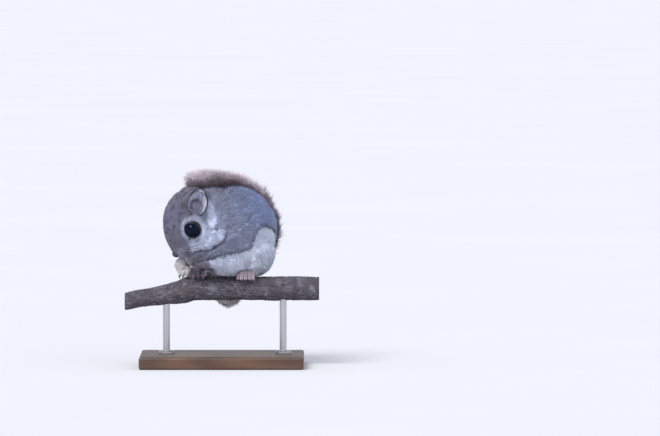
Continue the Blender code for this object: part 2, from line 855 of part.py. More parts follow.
def make_limbs(body_skin, perch_skin, surface):
    """Make the forelegs, hands and hind feet, each trimmed clear of what it meets."""
    lips_skin = unite("lips_skin", make_lips(surface, grow=GAP / MM))
    for side, arm_path, hand in (("left", ARM_LEFT, HAND_LEFT), ("right", ARM_RIGHT, HAND_RIGHT)):
        arm = tube("arm", arm_path, ARM_RADII)
        boolean(arm, body_skin, "DIFFERENCE")
        boolean(arm, perch_skin, "DIFFERENCE")
        boolean(arm, lips_skin, "DIFFERENCE", "MANIFOLD")
        arm_skin = make_arm_skin(arm_path)
        paw = digits("hand", *hand, count=4, spread=8.0, length=8.0, radius=1.25, drop=3.2, heel=3)
        boolean(paw, arm_skin, "DIFFERENCE")
        boolean(paw, body_skin, "DIFFERENCE")
        boolean(paw, perch_skin, "DIFFERENCE")
        remove([arm_skin])
        finish(arm, f"foreleg_{side}", "brown_fur")
        finish(paw, f"hand_{side}", "pink_skin")
    remove([lips_skin])
    for side, foot in (("left", FOOT_LEFT), ("right", FOOT_RIGHT)):
        paw = digits("foot", *foot, count=5, spread=9.5, length=10.0, radius=1.5, drop=3.6, heel=11)
        boolean(paw, body_skin, "DIFFERENCE")
        boolean(paw, perch_skin, "DIFFERENCE")
        finish(paw, f"foot_{side}", "pink_skin")


def eye_frame(side):
    """Return an eye's middle, its outward axis and the direction of its inner corner."""
    back, left, up = head_axes()
    forward, outward, upward = EYE_AXIS
    axis = (back * forward + left * outward * side + up * upward).normalized()
    corner = (-back - up * 0.15) + axis * (back + up * 0.15).dot(axis)
    return head_point((EYE[0], EYE[1] * side, EYE[2])), axis, corner.normalized()


def make_lid(side):
    """Make the lids as one ring whose radius grows towards the inner corner of the eye."""
    centre, axis, corner = eye_frame(side)
    other = axis.cross(corner)
    stand_off = 2.2
    points = 18
    sides = 5
    bm = bmesh.new()
    rows = []
    for i in range(points):
        angle = math.tau * i / points
        turned = math.atan2(math.sin(angle), math.cos(angle))
        radius = LID_RADIUS * (1 + 0.14 * math.exp(-(turned / 0.4) ** 2))
        outward = corner * math.cos(angle) + other * math.sin(angle)
        row = []
        for j in range(sides):
            turn = math.tau * j / sides
            offset = outward * math.cos(turn) + axis * math.sin(turn)
            place = outward * radius + axis * stand_off + offset * LID_THICKNESS
            row.append(bm.verts.new(centre + place * MM))
        rows.append(row)
    for i in range(points):
        for j in range(sides):
            a, b = rows[i], rows[(i + 1) % points]
            k = (j + 1) % sides
            bm.faces.new((a[j], a[k], b[k], b[j]))
    bmesh.ops.recalc_face_normals(bm, faces=bm.faces)
    return object_from_bmesh("lid", bm)


def skin_tube(name, points, radius, surface, shift, lift, sides):
    """Make a thin tube along a surface, shifted along the head's up and lifted outwards."""
    _, _, up = head_axes()
    places = []
    for point in points:
        place, normal, _, _ = surface.find_nearest(point + up * shift * MM)
        places.append((place - above_perch((0, 0, 0))) / MM + normal * lift)
    return tube(name, places, [radius] * 2, sides=sides, steps=2)


def mouth_line(surface):
    """Find the mouth's line on the skin, from the right corner to the left one."""
    back, left, up = head_axes()
    centre = head_point(MOUTH_CENTRE)
    rays = [(x, -y, z) for x, y, z in MOUTH_RAYS[:0:-1]] + list(MOUTH_RAYS)
    return [surface.ray_cast(centre, back * x + left * y + up * z)[0] for x, y, z in rays]


def make_lips(surface, grow=0.0):
    """Make the upper and the lower lip as tubes along both sides of the mouth's line."""
    line = mouth_line(surface)
    return [skin_tube("lip", line, LIP_RADIUS + grow, surface, shift, -0.2, 6)
            for shift in (LIP_SPACING, -LIP_SPACING)]


def shape_face(whole, surface):
    """Add the lids and lips to the head and cut the mouth's line."""
    unite(whole.name, [whole, make_lid(1), make_lid(-1), *make_lips(surface)])
    groove = skin_tube("groove", mouth_line(surface), MOUTH_RADIUS, surface, 0, 0.2, 4)
    boolean(whole, groove, "DIFFERENCE", "MANIFOLD")
    remove([groove])


def make_nose():
    """Make the bare nose pad with its two nostrils."""
    nose = head_form("nose", NOSE_PAD, segments=12, rings=7)
    for side in (1, -1):
        nostril = head_form("nostril", NOSTRIL, side, segments=8, rings=6)
        boolean(nose, nostril, "DIFFERENCE")
        remove([nostril])
    finish(nose, "nose", "nose_skin")


def make_body(perch_skin):
    """Make the whole body, part it by thin cuts and return its skin for trimming."""
    whole = make_body_whole()
    body_skin = grown(whole, GAP)
    surface = surface_of(whole)
    pocket = body_form("pocket", FOOT_POCKET)
    boolean(whole, pocket, "DIFFERENCE")
    tight_pocket = body_form("tight_pocket", FOOT_POCKET, grow=-GAP)
    boolean(body_skin, tight_pocket, "DIFFERENCE")
    remove([pocket, tight_pocket])
    boolean(whole, perch_skin, "DIFFERENCE")
    shape_face(whole, surface)
    for name, side in (("eye_left", 1), ("eye_right", -1)):
        eye = make_eye(name, side)
        socket = grown(eye, GAP)
        boolean(whole, socket, "DIFFERENCE")
        remove([socket])
        finish(eye, name, "dark_eye")
    make_nose()
    socket = head_form("socket", NOSE_PAD, grow=GAP, segments=12, rings=7)
    boolean(whole, socket, "DIFFERENCE")
    remove([socket])

    cut = GAP / MM
    head = carve(
        whole,
        prism("head", ((-70, 95), (-19, 95), (1.5, 36.5), (-40, 12.5), (-70, 12.5))),
        prism("gap", ((-70, 95), (-19 + cut, 95), (1.5 + cut, 36.3), (-40, 12.5 - cut),
                      (-70, 12.5 - cut))),
    )
    neck = carve(
        whole,
        prism("neck", ((-18, 95), (2, 95), (13, 36.5), (1.6, 36.5))),
        prism("gap", ((-18 - 3, 95), (2 + cut, 95), (13 + cut, 36.5 - cut), (0, 36.5 - cut))),
    )
    finish(head, "head", "brown_fur")
    finish(neck, "neck", "grey_fur")
    for name, form in (("thigh_left", ((24, 2, 24), (20, 28, 21))),
                       ("thigh_right", ((-8, 32, 22), (20, 18, 19)))):
        region = body_form(name, form, segments=20, rings=12)
        gap_region = body_form("gap", form, grow=GAP, segments=20, rings=12)
        thigh = carve(whole, region, gap_region)
        finish(thigh, name, "white_fur")
    finish(whole, "torso", "grey_fur")
    return body_skin, surface


def make_gliding_skin(name, edge, root, side, arm_path, surface, body_skin):
    """Make one fold of gliding skin, laid on the flank from its root line to its free edge.

    Each (x, height) place is dropped onto the flank along Y; the outer wall stands off it
    by a share of the thickness that grows from a quarter at the root to all at the edge.
    """
    rows = 3
    columns = 18
    rings = []
    for i in range(columns + 1):
        u = i / columns
        start = read_curve(root, u)
        end = read_curve(edge, u)
        outer = []
        inner = []
        for j in range(rows + 1):
            v = j / rows
            flat = start.lerp(end, v)
            place, normal = drop_on(surface, flat, side)
            rise = SKIN_THICKNESS * (0.25 + 0.75 * v ** 1.5) * (0.55 + 0.45 * math.sin(math.pi * u) ** 0.5)
            outer.append(place + normal * rise)
            inner.append(place - normal * 0.8 * MM)
        rings.append(outer + inner[::-1])
    fold = loft(name, rings)
    boolean(fold, body_skin, "DIFFERENCE")
    arm_skin = make_arm_skin(arm_path)
    boolean(fold, arm_skin, "DIFFERENCE")
    remove([arm_skin])
    return finish(fold, name, "grey_fur")


def surface_of(obj):
    """Make a tree for dropping places onto an object's surface."""
    bm = bmesh.new()
    bm.from_mesh(obj.data)
    tree = BVHTree.FromBMesh(bm)
    bm.free()
    return tree


def read_curve(points, share):
    """Read a smooth curve through (x, height) points at a share (0 to 1) of its length."""
    steps = 8
    curve = spline([(x, height, 0) for x, height in points], steps)
    place = share * (len(curve) - 1)
    i = min(int(place), len(curve) - 2)
    return curve[i].lerp(curve[i + 1], place - i)


def drop_on(surface, flat, side):
    """Drop an (x, height) place onto a surface from its left (1) or right (-1) side."""
    start = above_perch((flat.x, -100 * side, flat.y))
    place, normal, _, _ = surface.ray_cast(start, Vector((0, side, 0)))
    return place, normal


def make_ears(body_skin):
    """Make both ears, trimmed clear of the head."""
    for name, side in (("ear_left", 1), ("ear_right", -1)):
        ear = make_ear(name, side)
        boolean(ear, body_skin, "DIFFERENCE", "MANIFOLD")
        finish(ear, name, "brown_fur")


def main():
    """Build the whole model."""
    make_stand()
    perch_skin = make_perch("perch_skin", grow=GAP)
    body_skin, surface = make_body(perch_skin)
    make_gliding_skin("patagium_left", SKIN_EDGE_LEFT, SKIN_ROOT_LEFT, 1, ARM_LEFT, surface,
                      body_skin)
    make_gliding_skin("patagium_right", SKIN_EDGE_RIGHT, SKIN_ROOT_RIGHT, -1, ARM_RIGHT, surface,
                      body_skin)
    make_ears(body_skin)
    make_limbs(body_skin, perch_skin, surface)
    make_tail(body_skin)
    remove([perch_skin, body_skin])


main()
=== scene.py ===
"""Dress the flying squirrel on its cut branch: skin, fur, eyes, ears, paws, bark and stand.

Shapes are worked out in millimetres from the middle of the branch's axis, x to the tail, y away
from the front and z up, and become metres above the floor when a mesh is made.
"""

import itertools
import math

import bpy
import numpy as np
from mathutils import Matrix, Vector
from mathutils.bvhtree import BVHTree


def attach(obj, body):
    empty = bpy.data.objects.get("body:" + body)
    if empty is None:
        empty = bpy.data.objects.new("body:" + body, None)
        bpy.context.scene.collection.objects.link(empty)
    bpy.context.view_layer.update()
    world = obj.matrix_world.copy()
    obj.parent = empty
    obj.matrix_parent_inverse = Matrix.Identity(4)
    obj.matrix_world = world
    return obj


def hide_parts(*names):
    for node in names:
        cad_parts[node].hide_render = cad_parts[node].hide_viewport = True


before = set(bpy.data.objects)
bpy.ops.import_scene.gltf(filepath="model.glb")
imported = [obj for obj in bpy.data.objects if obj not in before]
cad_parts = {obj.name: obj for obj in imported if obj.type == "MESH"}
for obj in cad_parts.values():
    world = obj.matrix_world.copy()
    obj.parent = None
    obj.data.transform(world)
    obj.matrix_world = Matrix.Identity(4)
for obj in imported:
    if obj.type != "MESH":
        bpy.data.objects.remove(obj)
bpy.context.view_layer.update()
MM = 0.001
PERCH_HEIGHT = 56.0
DENSITY = 1.0
COAT_TUFTS, TAIL_TUFTS, EAR_TUFTS, EAR_FRINGE, PAW_TUFTS = (
    int(count * DENSITY) for count in (118000, 34000, 5200, 1500, 3800))
PIECE_TUFTS = 21500
TUFT_HEIGHT = 0.55

# Sizes in millimetres; a form is its middle and its radii, an edge or path its places
TORSO = ((6, 10, 40), (34, 33, 35))
BELLY = ((4, 0, 26), (26, 22, 18))
CHEST = ((-13, 1, 28), (15, 18, 17))
NECK = ((-8, 2, 50), (22, 18, 24.5))
RUMP = ((4, 21, 14), (20, 16, 27))
HAUNCH_LEFT = ((21, 5, 26), (18.5, 22, 19))
HAUNCH_RIGHT = ((-2, 25, 24), (19, 17, 18))
NOSE_TIP = (-33.1, -6.6, 24.1)
HEAD_PITCH = math.radians(64)
HEAD_YAW = math.radians(14)
# Head: back from the nose, height, depth, half width
HEAD_STATIONS = (
    (0.0, 1.6, 3.6, 3.0), (1.0, 3.1, 5.4, 4.6), (4.2, 8.0, 8.2, 6.8), (8.2, 12.8, 11.4, 8.6),
    (13.4, 17.0, 15.0, 10.0), (20.0, 20.5, 19.0, 12.4), (26.0, 22.2, 21.5, 14.8),
    (32.0, 22.4, 22.0, 16.4), (38.0, 21.4, 20.0, 16.6), (44.0, 18.3, 17.0, 14.8),
    (48.5, 14.0, 12.0, 11.0), (51.5, 8.0, 6.5, 6.5),
)
CHEEK = ((24.5, 13.5, -15.5), (10.5, 8.5, 9.5))
LIP_PAD = ((5.8, 4.6, -3.6), (5.8, 5.2, 4.8))
CHIN = ((9.0, 0.0, -9.5), (6.0, 6.0, 4.5))
NOSE_PAD = ((0.9, 0.0, 0.4), (2.4, 3.3, 2.7))
EYE = (21.7, 10.8, -0.5)
EYE_RADIUS = 6.3
EYE_AXIS = (-0.50, 0.82, 0.20)
LID_RADIUS = 5.95
NOSE_CLEARANCE = (3.0, 3.6, 3.1)
EAR_ROOT = (33.8, 13.0, 2.8)
EAR_TIP = (47.5, 19.4, 8.0)
EAR_WIDTH = 7.3
EAR_ROWS = 44
EAR_COLUMNS = 56
TAIL_TOP = 87.4
TAIL_SIDE = 49.4
TAIL_PATH = (
    (17, 35, 8), (27.5, 39, 25), (29.5, 37.5, 44), (23.5, 31, 60.5), (12, 22, 72.8),
    (-5, 12, 79.2), (-22, 4, 78.6),
)
TAIL_HALF_WIDTH = (8, 14, 17, 18, 18, 16, 7)
TAIL_HALF_DEPTH = (6.0, 5.2, 4.8, 4.6, 4.5, 5.0, 3.4)
TAIL_CORE = 0.42
TAIL_HOLLOW = 0.012
ARM_LEFT = ((-2, -17, 24), (-9, -17.5, 20), (-15.5, -13.5, 18.5), (-17.5, -10, 14.5))
ARM_RIGHT = ((-16, 16, 26), (-24, 11, 21), (-29, 5, 18.5), (-28.5, 1.5, 14.5))
ARM_RADII = (5.0, 4.0, 3.0, 2.3)
HAND_LEFT = ((-16.6, -6.8, 12.6), (-0.3, -1.0))
HAND_RIGHT = ((-24.0, 1.5, 12.8), (-0.3, -1.0))
FOOT_LEFT = ((17.3, -4.5, 11.6), (-0.05, -1.0))
FOOT_RIGHT = ((-3.5, 8.5, 11.0), (-0.5, -1.0))
SKIN_EDGE_LEFT = (
    (-14.5, 18.6), (-6.5, 22.7), (2.2, 25.6), (9.4, 27.7), (16.6, 30.8), (20.4, 35.4),
    (22.8, 41.0), (27.0, 45.4), (33.0, 45.0),
)
SKIN_ROOT_LEFT = (
    (-12, 24), (-5, 30), (3.5, 37), (10, 42.5), (15, 47), (19, 51), (23, 54), (27, 56),
    (31.5, 56),
)
SKIN_EDGE_RIGHT = ((-24, 19.5), (-17, 22.5), (-8, 24), (0, 25.5), (4.5, 28.5), (6.5, 33))
SKIN_ROOT_RIGHT = ((-19, 27), (-13, 34), (-7, 39), (-1, 43), (3.5, 45), (7.5, 46))
TOE_RADII = (0.95, 0.9, 1.0, 0.86, 0.9, 0.98, 0.72)
CLAW_RADII = (0.62, 0.5, 0.28, 0.06)
PERCH_HALF_LENGTH = 70.0
PERCH_RADIUS = 8.4
# Knots of the branch: place along it, angle round it, size and height
KNOTS = (
    (-27, -0.9, 3.2, 0.9), (6, -1.4, 1.8, 0.5), (38, -1.0, 2.2, 0.6), (-52, 0.4, 2.0, 0.5),
    (55, 2.2, 2.5, 0.6), (22, 1.9, 2.4, 0.5),
)
FLOOR_RADIUS = 30000

chance = np.random.default_rng(5)


# Frames, curves and waves
def unit(vectors):
    """Scale vectors to length one."""
    vectors = np.asarray(vectors, float)
    return vectors / np.maximum(np.linalg.norm(vectors, axis=-1, keepdims=True), 1e-9)


def laid(ways, normals):
    """Directions laid on a surface: their part along its normal is taken away."""
    return unit(ways - normals * np.einsum("ij,ij->i", ways, normals)[:, None])


def turned(ways, others, angle):
    """Directions turned by an angle towards others: way cos(angle) + other sin(angle)."""
    return ways * np.cos(angle)[:, None] + others * np.sin(angle)[:, None]


def turns(count):
    """Angles of even steps once round."""
    return np.linspace(0, math.tau, count, endpoint=False)


def bell(gap, reach, power=2):
    """exp(-(gap / reach)^power): 1 at no gap and almost 0 past twice the reach."""
    return np.exp(-(gap / reach) ** power)


def head_axes():
    """The head's back, left and up directions: level facing turned by yaw, then bowed."""
    level = np.array((-math.cos(HEAD_YAW), -math.sin(HEAD_YAW), 0))
    forward = level * math.cos(HEAD_PITCH) + np.array((0, 0, -math.sin(HEAD_PITCH)))
    left = np.cross((0, 0, 1), level)
    return np.array((-forward, left, np.cross(forward, left)))


HEAD = head_axes()
BACK, LEFT, UP = HEAD


def head_point(point):
    """Nose tip + back, left and up distances along the head's axes."""
    return np.asarray(NOSE_TIP) + np.asarray(point, float) @ HEAD


def sided(point, side):
    """A place or direction in the head's axes, on its left (1) or right (-1) side."""
    back, left, up = point
    return back, left * side, up


def in_head(points):
    """Distances back from the nose, to the left and up, of places in the model."""
    return (points - np.asarray(NOSE_TIP)) @ HEAD.T


def smooth(edge0, edge1, x):
    """0 before edge0, 1 after edge1, and 3 t^2 - 2 t^3 between them."""
    t = np.clip((x - edge0) / (edge1 - edge0), 0, 1)
    return t * t * (3 - 2 * t)


def spline(points, count):
    """Catmull-Rom curve through the points, read at a number of even shares."""
    p = np.asarray(points, float)
    p = np.vstack((2 * p[0] - p[1], p, 2 * p[-1] - p[-2]))
    s = np.linspace(0, len(points) - 1, count)
    i = np.minimum(s.astype(int), len(points) - 2)
    t = (s - i)[:, None]
    a, b, c, d = p[i], p[i + 1], p[i + 2], p[i + 3]
    return 0.5 * (2 * b + (c - a) * t + (2 * a - 5 * b + 4 * c - d) * t * t
                  + (3 * b - a - 3 * c + d) * t ** 3)


def read_along(values, shares):
    """Evenly spaced values read at shares 0 to 1 of their length, straight between them."""
    values = np.asarray(values, float)
    return np.interp(np.asarray(shares) * (len(values) - 1), np.arange(len(values)), values)


def waves(points, size, seed, count=14):
    """Soft noise from -1 to 1: a mean of sine waves of random directions, near one size."""
    source = np.random.default_rng(seed)
    directions = unit(source.normal(size=(count, 3)))
    lengths = size * source.uniform(0.6, 1.7, count)
    phases = source.uniform(0, math.tau, count)
    return np.sin(points @ (directions / lengths[:, None]).T * math.tau + phases).sum(1) / count ** 0.5


# Meshes
def make_mesh(name, points, triangles, material, colours=None, uv=None, body="root"):
    """Put points, in millimetres, and triangles into a named object that rides on the model."""
    mesh = bpy.data.meshes.new(name)
    places = (np.asarray(points, float) + (0, 0, PERCH_HEIGHT)) * MM
    triangles = np.asarray(triangles, np.int32)
    mesh.vertices.add(len(places))
    mesh.vertices.foreach_set("co", places.ravel())
    mesh.loops.add(len(triangles) * 3)
    mesh.loops.foreach_set("vertex_index", triangles.ravel())
    mesh.polygons.add(len(triangles))
    mesh.polygons.foreach_set("loop_start", np.arange(0, len(triangles) * 3, 3, dtype=np.int32))
    mesh.update(calc_edges=True)
    mesh.polygons.foreach_set("use_smooth", np.full(len(triangles), True))
    if colours is not None:
        layer = mesh.color_attributes.new("coat", "FLOAT_COLOR", "POINT")
        rgba = np.ones((len(places), 4))
        rgba[:, :3] = colours
        layer.data.foreach_set("color", rgba.ravel())
    if uv is not None:
        layer = mesh.uv_layers.new(name="OFBake")
        layer.data.foreach_set("uv", uv[triangles.ravel()].ravel())
    mesh.validate()
    obj = bpy.data.objects.new(name, mesh)
    bpy.context.scene.collection.objects.link(obj)
    if material is not None:
        obj.data.materials.append(material)
    if body:
        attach(obj, body)
    return obj


def sheet_triangles(rows, columns):
    """Two triangles for each square of a grid of rows, each row closed into a ring."""
    index = np.arange(rows * columns).reshape(rows, columns)
    after = np.roll(index, -1, 1)
    a, b, c, d = index[:-1], after[:-1], after[1:], index[1:]
    return np.concatenate((np.stack((a, b, c), -1).reshape(-1, 3),
                           np.stack((a, c, d), -1).reshape(-1, 3)))


def closed_rings(rings):
    """Points and outward triangles of rings skinned into a tube with a fan over each end."""
    rings = np.asarray(rings, float)
    rows, columns = rings.shape[:2]
    points = np.concatenate((rings.reshape(-1, 3), rings[0].mean(0)[None], rings[-1].mean(0)[None]))
    ring = np.arange(columns)
    after = np.roll(ring, -1)
    first = np.stack((after, ring, np.full(columns, rows * columns)), -1)
    last = (rows - 1) * columns
    final = np.stack((ring + last, after + last, np.full(columns, rows * columns + 1)), -1)
    triangles = np.concatenate((sheet_triangles(rows, columns), first, final))
    return points, turned_out(points, triangles)


def turned_out(points, triangles):
    """Swap the triangles' order where the closed surface's signed volume is negative."""
    a, b, c = (points[triangles[:, k]] for k in range(3))
    volume = np.einsum("ij,ij->i", a, np.cross(b, c)).sum()
    return triangles if volume > 0 else triangles[:, ::-1]


def join(parts):
    """Join (points, triangles) pairs into one pair."""
    points, triangles, start = [], [], 0
    for p, t in parts:
        points.append(p)
        triangles.append(turned_out(p, t) + start)
        start += len(p)
    return np.concatenate(points), np.concatenate(triangles)


def ellipsoid(centre, radii, axes=np.eye(3), rows=28, columns=40):
    """Centre + axes . (rx sin v cos u, ry sin v sin u, rz cos v), with fans at both poles."""
    v = np.linspace(0, math.pi, rows)[1:-1, None]
    u = turns(columns)[None]
    local = np.stack((np.sin(v) * np.cos(u), np.sin(v) * np.sin(u), np.cos(v) * np.ones_like(u)), -1)
    return closed_rings(np.asarray(centre) + (local * np.asarray(radii, float)) @ axes)


def head_form(form, side=1):
    """An ellipsoid in the head's own axes, on its left (1) or right (-1) side."""
    place, radii = form
    return ellipsoid(head_point(sided(place, side)), radii, HEAD)


def tube(path, radii, count=24, sides=20, squash=1.0):
    """Rings round a smooth path: place + radius (cos a . side + squash sin a . other)."""
    curve = spline(path, count)
    ahead = unit(np.gradient(curve, axis=0))
    side = np.empty_like(curve)
    held = unit(np.cross(ahead[0], (0.31, 0.87, 0.38)))
    for i, direction in enumerate(ahead):
        held = unit(held - direction * (held @ direction))
        side[i] = held
    other = np.cross(ahead, side)
    radius = read_along(radii, np.linspace(0, 1, count))[:, None, None]
    a = turns(sides)[None, :, None]
    return closed_rings(curve[:, None] + radius * (np.cos(a) * side[:, None]
                                                   + squash * np.sin(a) * other[:, None]))


def skull():
    """Rings at the head's stations, each the curve |x|^2.2 + |z|^2.2 = 1 in their sizes."""
    rows, columns, power = 48, 56, 2 / 2.2
    count = len(HEAD_STATIONS)
    at = np.linspace(0, count - 1, rows)
    back, height, depth, width = (np.interp(at, np.arange(count), sizes)[:, None]
                                  for sizes in zip(*HEAD_STATIONS))
    a = turns(columns)
    across = np.sign(np.cos(a)) * np.abs(np.cos(a)) ** power
    along = np.sign(np.sin(a)) * np.abs(np.sin(a)) ** power
    reach = np.where(along[None] > 0, height, depth)
    local = np.stack((np.repeat(back, columns, 1), across[None] * width, along[None] * reach), -1)
    return closed_rings(np.asarray(NOSE_TIP) + local @ HEAD)


def melt(name, parts, voxel, smoothing):
    """Melt overlapping closed forms into one surface: remesh on small cubes, then smooth."""
    points, triangles = join(parts)
    obj = make_mesh(name, points, triangles, None, body=None)
    remesh = obj.modifiers.new("Melt", "REMESH")
    remesh.mode = "VOXEL"
    remesh.voxel_size = voxel * MM
    soft = obj.modifiers.new("Soft", "SMOOTH")
    soft.factor = 0.5
    soft.iterations = smoothing
    shape = obj.evaluated_get(bpy.context.evaluated_depsgraph_get()).to_mesh()
    shape.calc_loop_triangles()
    places = np.empty(len(shape.vertices) * 3)
    shape.vertices.foreach_get("co", places)
    corners = np.empty(len(shape.loop_triangles) * 3, np.int32)
    shape.loop_triangles.foreach_get("vertices", corners)
    bpy.data.objects.remove(obj, do_unlink=True)
    return places.reshape(-1, 3) / MM - (0, 0, PERCH_HEIGHT), corners.reshape(-1, 3)


def point_normals(points, triangles):
    """Sum of the triangles' normals, by area, at each point."""
    a, b, c = (points[triangles[:, k]] for k in range(3))
    normal = np.cross(b - a, c - a)
    total = np.zeros_like(points)
    for k in range(3):
        np.add.at(total, triangles[:, k], normal)
    return unit(total)


# The coat's depth, lie and colours
def head_share(points):
    """1 on the face, falling to 0 behind the ears."""
    local = in_head(points)
    near = np.linalg.norm((local - (24, 0, -1)) / (31, 22, 27), axis=-1)
    return 1 - smooth(0.82, 1.12, near)


def coat_depth(points):
    """How far the skin lies under the tips: thin on nose and face, deep on trunk and belly."""
    local = in_head(points)
    face = 0.45 + 1.5 * smooth(4, 40, local[:, 0])
    return face * head_share(points) + 2.6 * (1 - head_share(points))


# Lie of the hair: place, direction, reach
LIE = (
    ((26, 8, 74), (1, 0.1, -0.25), 16), ((5, -14, 70), (1, 0, 0.1), 14),
    ((-6, -18, 58), (0.85, 0, 0.35), 10), ((4, -22, 54), (0.95, 0.05, 0.3), 10),
    ((16, -20, 52), (1, 0.1, 0), 12), ((28, -12, 55), (0.9, 0.3, -0.25), 12),
    ((38, 5, 50), (0.45, 0.35, -0.8), 14), ((40, 20, 30), (0, 0.3, -0.95), 14),
    ((30, 35, 20), (-0.2, 0.2, -0.95), 14), ((0, -20, 40), (0.95, 0, -0.2), 10),
    ((15, -22, 40), (0.9, 0, -0.4), 10), ((-5, -18, 28), (0.9, 0, -0.5), 8),
    ((12, -20, 31), (0.75, 0, -0.65), 8), ((22, -17, 42), (0.85, 0, -0.5), 8),
    ((-5, -16, 18), (0.95, 0, -0.25), 9), ((10, -18, 18), (0.9, -0.1, -0.4), 10),
    ((28, -14, 30), (0.6, 0, -0.8), 10), ((30, -10, 12), (0.2, 0.2, -0.95), 10),
    ((10, -8, 8), (0.6, 0.3, -0.7), 10), ((4, 21, -8), (0.1, 0.1, -1), 14),
    ((0, 45, 50), (0.7, 0.1, -0.7), 16), ((-10, 38, 25), (0.5, 0.3, -0.8), 16),
    ((10, 45, 20), (0.4, 0.2, -0.9), 16), ((-20, 20, 20), (0.5, 0.4, -0.7), 12),
    ((-20, 25, 50), (0.8, 0.3, -0.4), 14),
)


def lie_of(points, normals):
    """Direction of the hair: guides weighted by exp(-(distance / reach)^2 / 2), laid on the skin.

    On the head it runs back from the nose, out over the cheeks and away from the eyes.
    """
    place = np.array([g[0] for g in LIE], float)
    way = unit([g[1] for g in LIE])
    reach = np.array([g[2] for g in LIE], float)
    near = ((points[:, None] - place[None]) ** 2).sum(-1) / (reach ** 2)
    weight = np.exp(-near * 0.5) + 1e-6
    trunk = unit((weight[..., None] * way[None]).sum(1))
    local = in_head(points)
    fan = np.stack((np.full(len(points), 1.0), local[:, 1] / 60, (local[:, 2] - 2) / 70), -1)
    for side in (1, -1):
        away = local - sided(EYE, side)
        close = bell(np.linalg.norm(away, axis=-1), 9, 4)[:, None]
        fan = fan * (1 - 0.45 * close) + unit(away) * 0.45 * close
    face = unit(fan) @ HEAD
    share = head_share(points)[:, None]
    lie = trunk * (1 - share) + face * share
    for path in (ARM_LEFT, ARM_RIGHT):
        curve = spline(path, 9)
        ahead = unit(np.gradient(curve, axis=0))
        gap = np.linalg.norm(points[:, None] - curve[None], axis=-1)
        close = bell(gap.min(1), 6.5, 4)[:, None]
        lie = lie * (1 - close) + ahead[gap.argmin(1)] * close
    return laid(lie, normals)


def linear(red, green, blue):
    """A colour given as it looks, 0 to 255, as the light it sends back."""
    c = np.array((red, green, blue)) / 255
    return np.where(c <= 0.04045, c / 12.92, ((c + 0.055) / 1.055) ** 2.4)


# Tones of the coat as they look, 0 to 255; hem darkens the fold's free edge, both its own darker fur and
# painted shade where the fold overhangs the belly
TONES = dict(
    taupe=(116, 116, 138), crown=(140, 136, 156), snout=(104, 101, 118), flank=(150, 155, 182),
    blue_grey=(151, 163, 198), back=(148, 162, 204), grey=(138, 142, 167), pale=(188, 194, 216),
    white=(224, 230, 251), cheek=(216, 223, 247), dark=(76, 76, 96), hem=(74, 75, 98),
    wrist=(112, 105, 121), far_arm=(250, 244, 247), foot=(196, 184, 192), beige=(222, 209, 219),
    tail_dark=(138, 122, 132), tail_root=(106, 104, 124),
)
COAT = {name: linear(*tone) for name, tone in TONES.items()}
# Tones of the head, in its own axes, mirrored to its right side: place, reach, colour
HEAD_MARKS = (
    ((2, 0, 4), 7, "snout"), ((8, 0, 11), 8, "snout"), ((14, 0, 17), 8, "taupe"),
    ((22, 0, 20), 10, "taupe"), ((32, 0, 22), 10, "taupe"), ((42, 0, 18), 10, "crown"),
    ((20, 9, 12), 6, "taupe"), ((30, 12, 12), 7, "taupe"), ((40, 12, 10), 7, "crown"),
    ((48, 6, 8), 6, "crown"), ((10, 8, 0), 4.5, "grey"), ((4, 6, -4), 4.5, "pale"),
    ((10, 8, -8), 5, "pale"), ((12, 9, 4), 4, "snout"), ((20, 12, -12), 6, "pale"),
    ((31, 18, -7), 5, "grey"), ((38, 17, -4), 5, "grey"), ((44, 15, -4), 5, "grey"),
    ((20, 6, -20), 7, "pale"), ((34, 14, -20), 7, "pale"), ((48, 8, -8), 8, "grey"),
)
# Tones of the trunk above the white: place, reach, colour
TRUNK_MARKS = (
    ((-12, -12, 70), 8, "crown"), ((0, -14, 66), 10, "grey"), ((12, -16, 66), 10, "blue_grey"),
    ((26, -6, 64), 10, "back"), ((36, 6, 54), 10, "back"), ((40, 18, 40), 9, "back"),
    ((-4, -20, 52), 10, "flank"), ((8, -23, 48), 9, "flank"), ((20, -20, 50), 8, "blue_grey"),
    ((30, -14, 52), 8, "back"), ((-6, -19, 38), 8, "flank"), ((6, -22, 38), 8, "flank"),
    ((16, -20, 36), 6, "flank"), ((-10, -18, 26), 6, "grey"), ((-16, -14, 21), 5, "snout"),
    ((41, 24, 26), 8, "grey"), ((34, 38, 24), 10, "grey"), ((20, 42, 50), 12, "back"),
    ((5, 40, 62), 12, "back"), ((-10, 30, 60), 12, "grey"), ((-5, 42, 40), 11, "blue_grey"),
    ((12, 44, 30), 10, "grey"), ((-18, 28, 30), 8, "grey"), ((-22, 14, 24), 7, "grey"),
)
# Outlines of the markings as the left side shows them: (x, z); the head's are mirrored to its right
HEAD_OUTLINE = (
    (-41.0, -1.1), (-27.4, 21.6), (-24.5, 22.7), (-17.3, 26.6), (-10.1, 27.4), (-5.8, 30.2),
    (-2.2, 33.1), (0.7, 36.4), (1.8, 39.6), (1.1, 42.5), (-4.3, 43.6), (-4.3, 49.7), (-5.8, 56.5),
    (-7.6, 63.7), (-9.4, 70.9), (-11.5, 78.1), (-15.8, 92.5), (-66.2, 92.5), (-66.2, -1.1),
)
STRIPE = (
    (-11.5, 60.8), (-8.6, 61.6), (-6.5, 56.5), (-5.0, 50.8), (-5.0, 45.7), (-7.2, 42.5),
    (-10.1, 42.1), (-11.2, 46.4), (-11.9, 53.6),
)
CHEEK_LOBE = (
    (-8.6, 41.4), (-5.8, 42.6), (-2.2, 42.7), (0.6, 41.4), (0.7, 38.5), (-0.4, 36.0), (-3.6, 33.1),
    (-7.2, 31.0), (-10.1, 29.5), (-12.2, 32.0), (-9.4, 36.4),
)
